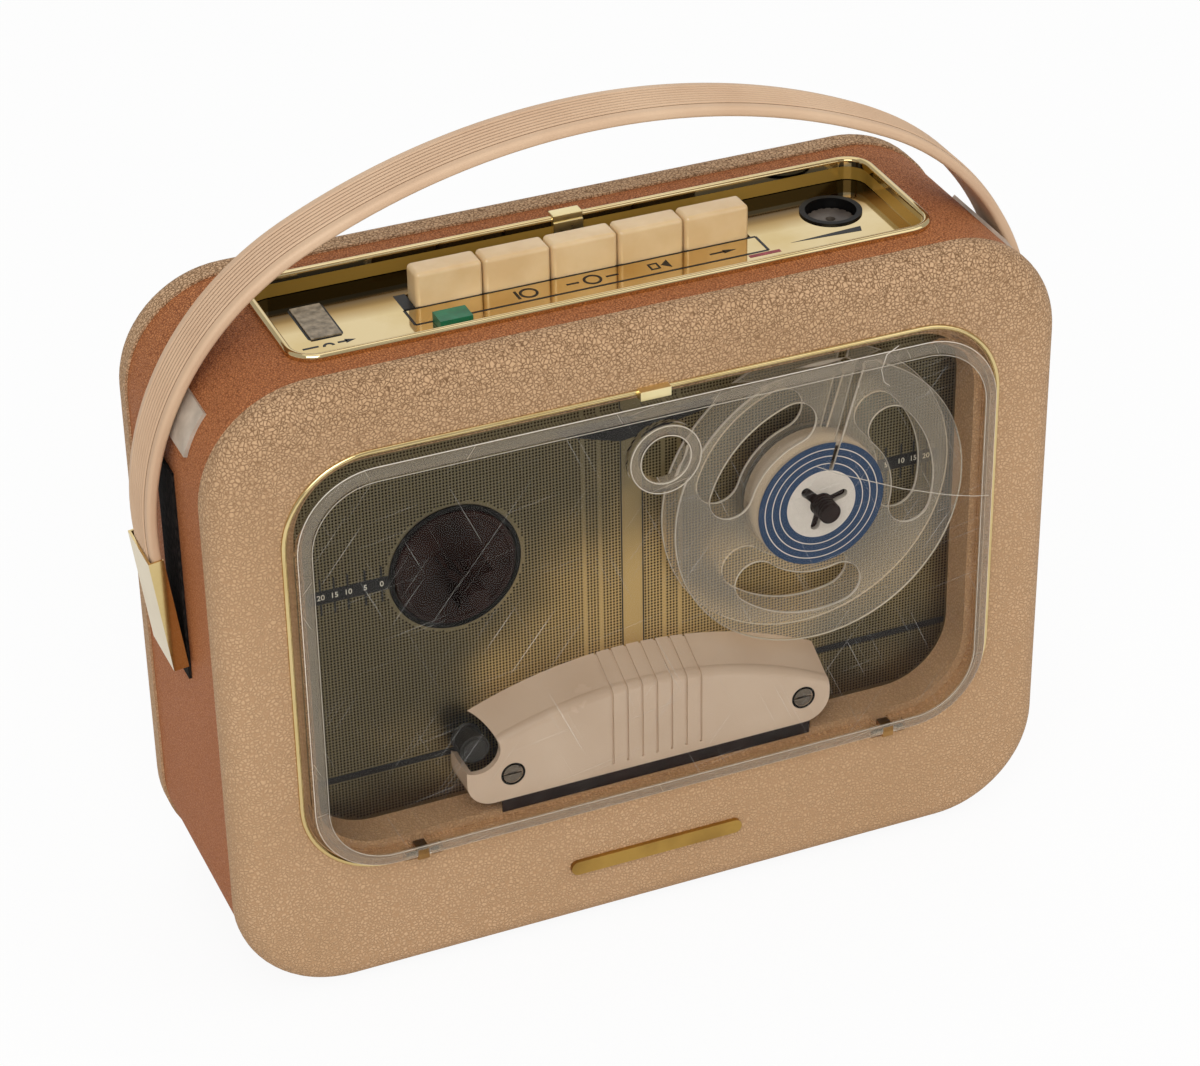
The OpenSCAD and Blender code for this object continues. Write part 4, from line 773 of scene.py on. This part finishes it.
def perforation_tree():
    """A square grid of dark discs in a rounded rectangle, bare in some columns and round the spools."""
    tree, sizes, given = geometry_tree("deck_perforation", [(name, "Float") for name in (
        "Width", "Height", "Corner", "Pitch", "Hole radius",
        "Spool distance", "Spool height", "Spool radius")])
    counts, lengths, away, beyond = {}, {}, {}, {}
    spot = add(tree, "ShaderNodeSeparateXYZ", {0: add(tree, "GeometryNodeInputPosition")}).outputs
    for axis, side in (("X", "Width"), ("Y", "Height")):
        across = add(tree, "ShaderNodeMath", {0: given[side], 1: given["Pitch"]}, operation="DIVIDE")
        part = add(tree, "ShaderNodeMath", {0: across, 1: 0.5}, operation="MULTIPLY")
        whole = add(tree, "ShaderNodeMath", {0: part}, operation="FLOOR")
        counts[axis] = add(tree, "ShaderNodeMath", {0: whole, 1: 2.0, 2: 1.0}, operation="MULTIPLY_ADD")
        span = add(tree, "ShaderNodeMath", {0: whole, 1: 2.0}, operation="MULTIPLY")
        lengths[axis] = add(tree, "ShaderNodeMath", {0: span, 1: given["Pitch"]}, operation="MULTIPLY")
        away[axis] = add(tree, "ShaderNodeMath", {0: spot[axis]}, operation="ABSOLUTE")
        half = add(tree, "ShaderNodeMath", {0: given[side], 1: 0.5}, operation="MULTIPLY")
        straight = add(tree, "ShaderNodeMath", {0: half, 1: given["Corner"]}, operation="SUBTRACT")
        past = add(tree, "ShaderNodeMath", {0: away[axis], 1: straight}, operation="SUBTRACT")
        beyond[axis] = add(tree, "ShaderNodeMath", {0: past, 1: 0.0}, operation="MAXIMUM")
    grid = add(tree, "GeometryNodeMeshGrid", {"Size X": lengths["X"], "Size Y": lengths["Y"],
                                              "Vertices X": counts["X"], "Vertices Y": counts["Y"]})
    corner = add(tree, "ShaderNodeCombineXYZ", beyond)
    reach = add(tree, "ShaderNodeVectorMath", {0: corner}, operation="LENGTH").outputs["Value"]
    drop = [add(tree, "ShaderNodeMath", {0: reach, 1: given["Corner"]}, operation="GREATER_THAN")]
    side = add(tree, "ShaderNodeMath", {0: away["X"], 1: given["Spool distance"]}, operation="SUBTRACT")
    rise = add(tree, "ShaderNodeMath", {0: spot["Y"], 1: given["Spool height"]}, operation="SUBTRACT")
    spool = add(tree, "ShaderNodeCombineXYZ", {"X": side, "Y": rise})
    reach = add(tree, "ShaderNodeVectorMath", {0: spool}, operation="LENGTH").outputs["Value"]
    drop.append(add(tree, "ShaderNodeMath", {0: reach, 1: given["Spool radius"]}, operation="LESS_THAN"))
    column = add(tree, "ShaderNodeMath", {0: away["X"], 1: given["Pitch"]}, operation="DIVIDE")
    drop.append(add(tree, "ShaderNodeMath", {0: column, 1: BARE_HALF + 0.5}, operation="LESS_THAN"))
    for bare in BARE_COLUMNS:
        drop.append(add(tree, "ShaderNodeMath", {0: column, 1: float(bare), 2: 0.5}, operation="COMPARE"))
    dropped = drop[0]
    for test in drop[1:]:
        dropped = add(tree, "ShaderNodeMath", {0: dropped, 1: test}, operation="MAXIMUM")
    kept = add(tree, "GeometryNodeDeleteGeometry", {"Geometry": grid, "Selection": dropped})
    disc = add(tree, "GeometryNodeMeshCircle", {"Vertices": HOLE_SIDES, "Radius": given["Hole radius"]},
               fill_type="NGON")
    set_out(tree, kept, disc, hole_dark)
    return tree, sizes


def deck_holes():
    """Dark discs for the deck's holes, a hair in front of its face."""
    tree, sizes = perforation_tree()
    mesh = made("deck_holes", bpy.data.meshes.new("deck_holes"), tree, sizes, {
        "Width": (DECK_W - 2 * DECK_MARGIN) * MM, "Height": (DECK_H - 2 * DECK_MARGIN) * MM,
        "Corner": (DECK_CORNER - DECK_MARGIN) * MM, "Pitch": HOLE_PITCH * MM, "Hole radius": HOLE_R * MM,
        "Spool distance": SPOOL_X * MM, "Spool height": (SPOOL_Z - DECK_MID) * MM,
        "Spool radius": (SPOOL_RING_R + SPOOL_MARGIN) * MM})
    mesh.transform(Matrix.Translation((0, 0, DECK_MID * MM)) @ facing_front(DECK_FRONT - HOLE_LIFT))
    piece("deck_holes", mesh, hole_dark, "case")


# Marks printed on the deck

BAND_H, BAND_END = 4.8, 47.4
TICK_W, TICK_H = 0.6, 12.7
# Numbers of the tape scales and their distances from the spool's axis
TAPE_MARKS = ((0, 23.8), (5, 29.1), (10, 34.6), (15, 39.0), (20, 43.4))
NUMERAL = 2.6
# Middle strip of the deck and the dark lines along its edges, which are print and painted shade
STRIP_HALF, STRIP_LINE = 3.35, 0.45
WEDGE = ((-27.5, 176.4), (-3.4, 168.9), (5.0, 169.9), (30.4, 174.6), (27.0, 176.6), (6.0, 174.2),
         (-4.0, 176.6))
# Ends and height of the two lower bands
LOW_BANDS = ((-108.0, -59.0, 70.1), (63.0, 111.6, 72.8))
LOW_BAND_H = 2.4


def deck_marks():
    """Black bands, ticks and wedge of the deck, dark lines along its middle strip that are print and painted
    shade, and the white numbers of its tape scales.
    """
    black = [list(WEDGE)]
    white = []
    strip_base, strip_top = deck_low.z + DECK_SEAT, deck_high.z - DECK_SEAT
    for side in (-1, 1):
        spool = side * SPOOL_X
        inner, outer = spool + side * SPOOL_RING_R, spool + side * BAND_END
        black.append(bar(min(inner, outer), SPOOL_Z - BAND_H / 2, max(inner, outer), SPOOL_Z + BAND_H / 2))
        for number, away in TAPE_MARKS:
            x = spool + side * away
            for end in (-1, 1):
                z1, z2 = SPOOL_Z + end * BAND_H / 2, SPOOL_Z + end * TICK_H / 2
                black.append(bar(x - TICK_W / 2, min(z1, z2), x + TICK_W / 2, max(z1, z2)))
            white.append(numeral(str(number), x, SPOOL_Z, NUMERAL, INK))
        # Dark lines along the middle strip's edges: print and painted shade
        edge = side * (STRIP_HALF + STRIP_LINE / 2)
        black.append(bar(edge - STRIP_LINE / 2, strip_base, edge + STRIP_LINE / 2, strip_top))
    for x1, x2, z in LOW_BANDS:
        black.append(bar(x1, z - LOW_BAND_H / 2, x2, z + LOW_BAND_H / 2))
    dark = join([sheet([outline], INK) for outline in black])
    dark.transform(facing_front(DECK_FRONT - HOLE_LIFT))
    piece("deck_print", dark, print_black, "case")
    pale = join(white)
    pale.transform(facing_front(DECK_FRONT - HOLE_LIFT - INK))
    piece("deck_numerals", pale, print_white, "case")


# Marks printed on the tray floor

LINE = 0.9
FRAME_LEFT, FRAME_RIGHT = -61.0, 55.6
FRAME_BACK, FRAME_FRONT = 1.5, -8.3
# Dark patch left of the first key, to this depth: painted shade in the open end of the keys' slot
KEY_END, KEY_DEPTH = -57.2, 10.0
# Signs in front of the keys: microphone, halt, loudspeaker and forward arrow
SIGN_X, SIGN_Y, SIGN_R = (-23.8, -1.6, 20.6, 42.8), -3.6, 2.6
MICROPHONE_RING, MICROPHONE_BAR = 1.2, -2.6
HALT_DASH = (4.5, 8.6)
SPEAKER_BOX = (bar(-3.4, -2.0, 0.0, 2.0), bar(-2.7, -1.3, -0.7, 1.3))
SPEAKER_HORN = ((0.6, 0.0), (3.4, -2.6), (3.4, 2.6))
ARROW_TAIL, ARROW_HEAD = 5.0, ((-0.5, -1.1), (4.0, 0.0), (-0.5, 1.1))
VOLUME_WEDGE = ((64.0, -6.9), (87.6, -8.6), (88.6, -5.6))
RED_BAR = (48.2, -10.9, 58.8, -9.2)
# Border of the indicator window, and the small sign in front of it
LENS_HALF_W, LENS_HALF_L = 4.8, 10.2
LENS_LINE, LENS_OVER = 0.8, 0.3
LENS_TURNS = (2.2, 1.4)
LENS_SIGN_X, LENS_SIGN_Y = -1.0, -4.4
LENS_DASHES = ((-8.0, -3.0), (3.0, 6.0))
LENS_BOW_Y, LENS_BOW_RADII = -0.9, (1.9, 1.0)
LENS_HEAD = ((5.4, -1.2), (8.6, 0.0), (5.4, 1.2))


def key_signs():
    """Outlines of the signs in front of the keys."""
    microphone, halt, speaker, forward = SIGN_X
    y, bar_x = SIGN_Y, microphone + MICROPHONE_BAR
    near, far = HALT_DASH
    signs = [ring(microphone + MICROPHONE_RING, y, SIGN_R, LINE),
             [stroke(bar_x, y - SIGN_R, bar_x, y + SIGN_R, LINE)],
             ring(halt, y, SIGN_R, LINE)]
    signs += [[stroke(halt + side * near, y, halt + side * far, y, LINE)] for side in (-1, 1)]
    signs.append([moved(box, speaker, y) for box in SPEAKER_BOX])
    signs.append([moved(SPEAKER_HORN, speaker, y)])
    signs.append([stroke(forward - ARROW_TAIL, y, forward, y, LINE)])
    signs.append([moved(ARROW_HEAD, forward, y)])
    return signs


def lens_marks():
    """Outlines of the border of the indicator window and of its sign."""
    lens = middle("indicator_lens")
    border = []
    for grow, turn in zip((LENS_LINE, -LENS_OVER), LENS_TURNS):
        half_w, half_l = LENS_HALF_W + grow, LENS_HALF_L + grow
        border.append(rounded(lens.x - half_w, lens.y - half_l, lens.x + half_w, lens.y + half_l, turn))
    x, y = lens.x + LENS_SIGN_X, lens.y - LENS_HALF_L + LENS_SIGN_Y
    before, after = ([stroke(x + start, y, x + end, y, LINE)] for start, end in LENS_DASHES)
    outer, inner = LENS_BOW_RADII
    bow = arc(x, y + LENS_BOW_Y, outer, 0, 180, 12) + arc(x, y + LENS_BOW_Y, inner, 180, 0, 12)
    return [border, before, [bow], after, [moved(LENS_HEAD, x, y)]]


def tray_marks():
    """Black frame round the keys' signs, volume wedge, indicator border, a painted shade by the first key,
    and a red mark by the last key.
    """
    left, right, back, front = FRAME_LEFT, FRAME_RIGHT, FRAME_BACK, FRAME_FRONT
    sides = ((left, back, right, back), (left, back, left, front), (left, front, right, front),
             (right, back, right, front))
    lines = [[stroke(*ends, LINE)] for ends in sides]
    lines += key_signs()
    lines.append([list(VOLUME_WEDGE)])
    # Painted shade in the open end of the keys' slot
    lines.append([bar(left, back, KEY_END, back + KEY_DEPTH)])
    lines += lens_marks()
    dark = join([sheet(outlines, INK) for outlines in lines])
    dark.transform(Matrix.Translation((0, 0, TRAY_FLOOR * MM)))
    piece("tray_print", dark, print_black, "case")
    red = sheet([bar(*RED_BAR)], INK)
    red.transform(Matrix.Translation((0, 0, TRAY_FLOOR * MM)))
    piece("tray_red_mark", red, print_red, "case")


# Carrying strap

STRAP_DROP = 103.6
STRAP_T, STRAP_EDGE = 4.0, 1.3
STRAP_LEAN = math.radians(7)
STRAP_LEG = 36.0
SHOULDER_X, SHOULDER_R = 54.8, 91.0
CROWN_STEPS, SHOULDER_STEPS, LEG_STEPS = 24, 32, 4
RIB_COUNT, RIB_PITCH = 8, 1.75
RIB_R, RIB_PROUD, RIB_SIDES = 0.62, 0.55, 8
FLOOR_UNDER, FLOOR_OVER, FLOOR_EDGE = 0.3, 0.05, 0.1
strap_low, strap_high = (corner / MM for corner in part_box("handle_strap"))
STRAP_W = strap_high.y - strap_low.y
STRAP_MID_Y = (strap_high.y + strap_low.y) / 2


def strap_path(lift):
    """Points and outward directions along the strap from the front, left to right, lifted off its inside."""
    crown_top = strap_high.z - STRAP_T
    shoulder_z = crown_top - STRAP_DROP
    span = STRAP_DROP - SHOULDER_R
    gap = (SHOULDER_X ** 2 - span ** 2) / (2 * span)
    crown_r = gap + SHOULDER_R + span
    crown_z = crown_top - crown_r
    crown = math.asin(SHOULDER_X / (crown_r - SHOULDER_R))
    turn = math.pi / 2 + STRAP_LEAN - crown
    half = [(0, crown_z, crown_r, crown * i / CROWN_STEPS) for i in range(1, CROWN_STEPS + 1)]
    half += [(SHOULDER_X, shoulder_z, SHOULDER_R, crown + turn * i / SHOULDER_STEPS)
             for i in range(1, SHOULDER_STEPS + 1)]
    right = [(Vector((x + (r + lift) * math.sin(a), z + (r + lift) * math.cos(a))),
              Vector((math.sin(a), math.cos(a)))) for x, z, r, a in half]
    foot, out = right[-1]
    step = STRAP_LEG / LEG_STEPS * Vector((math.sin(STRAP_LEAN), math.cos(STRAP_LEAN)))
    right += [(foot - i * step, out) for i in range(1, LEG_STEPS + 1)]
    left = [(Vector((-p.x, p.y)), Vector((-n.x, n.y))) for p, n in reversed(right)]
    return left + [(Vector((0, crown_top + lift)), Vector((0, 1)))] + right


def strap_loft(half_w, inner, outer, r):
    """A flat band with round edges, between two distances from the strap's inside, carried along its path."""
    section = rounded(-half_w, inner, half_w, outer, r)
    bm = bmesh.new()
    rows = []
    for point, out in strap_path(0):
        row = []
        for u, v in section:
            place = Vector((point.x + out.x * v, STRAP_MID_Y + u, point.y + out.y * v))
            row.append(bm.verts.new(place * MM))
        rows.append(row)
    for one, two in zip(rows, rows[1:]):
        for i in range(len(section)):
            j = (i + 1) % len(section)
            bm.faces.new((one[i], one[j], two[j], two[i]))
    bm.faces.new(rows[0])
    bm.faces.new(reversed(rows[-1]))
    bmesh.ops.recalc_face_normals(bm, faces=bm.faces)
    for face in bm.faces:
        face.smooth = len(face.verts) == 4
    return plain(bm)


def strap_body():
    """The strap with its smooth welts, and the sunk floor between them that carries the ribs."""
    flat = STRAP_T - RIB_PROUD
    strap = piece("strap", strap_loft(STRAP_W / 2, 0, flat, STRAP_EDGE), finish["strap_plastic"], "handle")
    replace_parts(strap, "handle_strap")
    rib_half = RIB_COUNT * RIB_PITCH / 2
    sunk = strap_loft(rib_half, flat - FLOOR_UNDER, flat + FLOOR_OVER, FLOOR_EDGE)
    piece("strap_floor", sunk, strap_floor, "handle")


def rib_tree():
    """Round ribs swept along a curve, side by side across the strap."""
    tree, sizes, given = geometry_tree("strap_ribs", (
        ("Geometry", "Geometry"), ("Count", "Int"), ("Pitch", "Float"), ("Radius", "Float")))
    section = add(tree, "GeometryNodeCurvePrimitiveCircle",
                  {"Resolution": RIB_SIDES, "Radius": given["Radius"]})
    rib = add(tree, "GeometryNodeCurveToMesh",
              {"Curve": given["Geometry"], "Profile Curve": section, "Fill Caps": True})
    gaps = add(tree, "ShaderNodeMath", {0: given["Count"], 1: 1.0}, operation="SUBTRACT")
    span = add(tree, "ShaderNodeMath", {0: gaps, 1: given["Pitch"]}, operation="MULTIPLY")
    first = add(tree, "ShaderNodeMath", {0: span, 1: -0.5}, operation="MULTIPLY")
    start = add(tree, "ShaderNodeCombineXYZ", {"Y": first})
    step = add(tree, "ShaderNodeCombineXYZ", {"Y": given["Pitch"]})
    row = add(tree, "GeometryNodeMeshLine",
              {"Count": given["Count"], "Start Location": start, "Offset": step})
    set_out(tree, row, rib, finish["strap_plastic"])
    return tree, sizes


def strap_ribs():
    """Fine ribs along the outside of the strap."""
    curve = bpy.data.curves.new("strap_path", "CURVE")
    curve.dimensions = "3D"
    path = [row[0] for row in strap_path(STRAP_T - RIB_R)[1:-1]]
    route(curve, [(at.x, STRAP_MID_Y, at.y) for at in path], False)
    tree, sizes = rib_tree()
    mesh = made("strap_ribs", curve, tree, sizes,
                {"Count": RIB_COUNT, "Pitch": RIB_PITCH * MM, "Radius": RIB_R * MM})
    mesh.shade_smooth()
    piece("strap_ribs", mesh, finish["strap_plastic"], "handle")


# Studio, in metres and watts

FLOOR_HALF = 4.0
FLOOR_SHOW = 0.92
SKY = 0.5
AIM = Vector((0, 0, 0.11))
LAMP_SIZE = 1.6
LAMPS = (
    ("key_softbox", (-0.8, -1.7, 1.65), 33.0),
    ("fill_softbox", (1.4, -1.4, 1.2), 7.0),
    ("back_softbox", (0.7, 1.5, 1.25), 4.0),
    ("top_softbox", (0.2, 0.2, 2.2), 6.0),
)


def backdrop(tree):
    """Two shares: rays that look at the backdrop, also through clear plastic, and rays not yet scattered."""
    path = add(tree, "ShaderNodeLightPath").outputs
    seen = add(tree, "ShaderNodeMath", {0: path["Is Camera Ray"], 1: path["Is Transmission Ray"]},
               operation="MAXIMUM")
    bounces = add(tree, "ShaderNodeMath", {0: path["Diffuse Depth"], 1: path["Glossy Depth"]},
                  operation="ADD")
    straight = add(tree, "ShaderNodeMath", {0: bounces, 1: 0.5}, operation="LESS_THAN")
    return seen, straight


def floor():
    """Pale floor that shows white to the camera and keeps the object's shadow."""
    mesh = bpy.data.meshes.new("floor")
    h = FLOOR_HALF
    mesh.from_pydata([(-h, -h, 0), (h, -h, 0), (h, h, 0), (-h, h, 0)], [], [(0, 1, 2, 3)])
    obj = bpy.data.objects.new("floor", mesh)
    scene.collection.objects.link(obj)
    material, tree, shader = surface("floor_paper", Base_Color=rgb("#EFEFED"), Roughness=0.9)[:3]
    seen, straight = backdrop(tree)
    both = add(tree, "ShaderNodeMath", {0: seen, 1: straight}, operation="MULTIPLY")
    share = add(tree, "ShaderNodeMath", {0: both, 1: FLOOR_SHOW}, operation="MULTIPLY")
    glow = add(tree, "ShaderNodeEmission", {"Color": (1, 1, 1, 1), "Strength": 1.0})
    blended(tree, share, shader, glow)
    mesh.materials.append(material)


def studio():
    """White world that the camera sees, a dimmer one that lights the object, and four soft lamps."""
    world = bpy.data.worlds.new("studio")
    scene.world = world
    world.use_nodes = True
    tree = world.node_tree
    tree.nodes.clear()
    seen, straight = backdrop(tree)
    strength = add(tree, "ShaderNodeMapRange", {0: seen, 3: SKY, 4: straight})
    sky = add(tree, "ShaderNodeBackground", {"Color": (1, 1, 1, 1), "Strength": strength})
    add(tree, "ShaderNodeOutputWorld", {"Surface": sky})
    for name, place, power in LAMPS:
        lamp = bpy.data.lights.new(name, "AREA")
        lamp.size = LAMP_SIZE
        lamp.energy = power
        obj = bpy.data.objects.new(name, lamp)
        scene.collection.objects.link(obj)
        obj.location = place
        obj.rotation_euler = (AIM - Vector(place)).to_track_quat("-Z", "Y").to_euler()
        obj.visible_transmission = False


def camera():
    """Camera turned by azimuth, elevation and roll."""
    data = bpy.data.cameras.new("camera")
    data.lens = LENS
    data.sensor_width = SENSOR_W
    data.sensor_fit = "HORIZONTAL"
    obj = bpy.data.objects.new("camera", data)
    scene.collection.objects.link(obj)
    back = Vector((math.sin(AZIMUTH) * math.cos(ELEVATION), -math.cos(AZIMUTH) * math.cos(ELEVATION),
                   math.sin(ELEVATION)))
    right = Vector((0, 0, 1)).cross(back).normalized()
    up = back.cross(right)
    side = right * math.cos(ROLL) + up * math.sin(ROLL)
    rise = up * math.cos(ROLL) - right * math.sin(ROLL)
    turn = Matrix((side, rise, back)).transposed().to_4x4()
    obj.matrix_world = Matrix.Translation(EYE) @ turn
    scene.camera = obj


reel_mould()
trim_bead()
cover_lines()
roller_cap()
keys()
small_fittings()
deck_holes()
deck_marks()
tray_marks()
strap_body()
strap_ribs()
floor()
studio()
camera()
scene.view_settings.view_transform = "Standard"
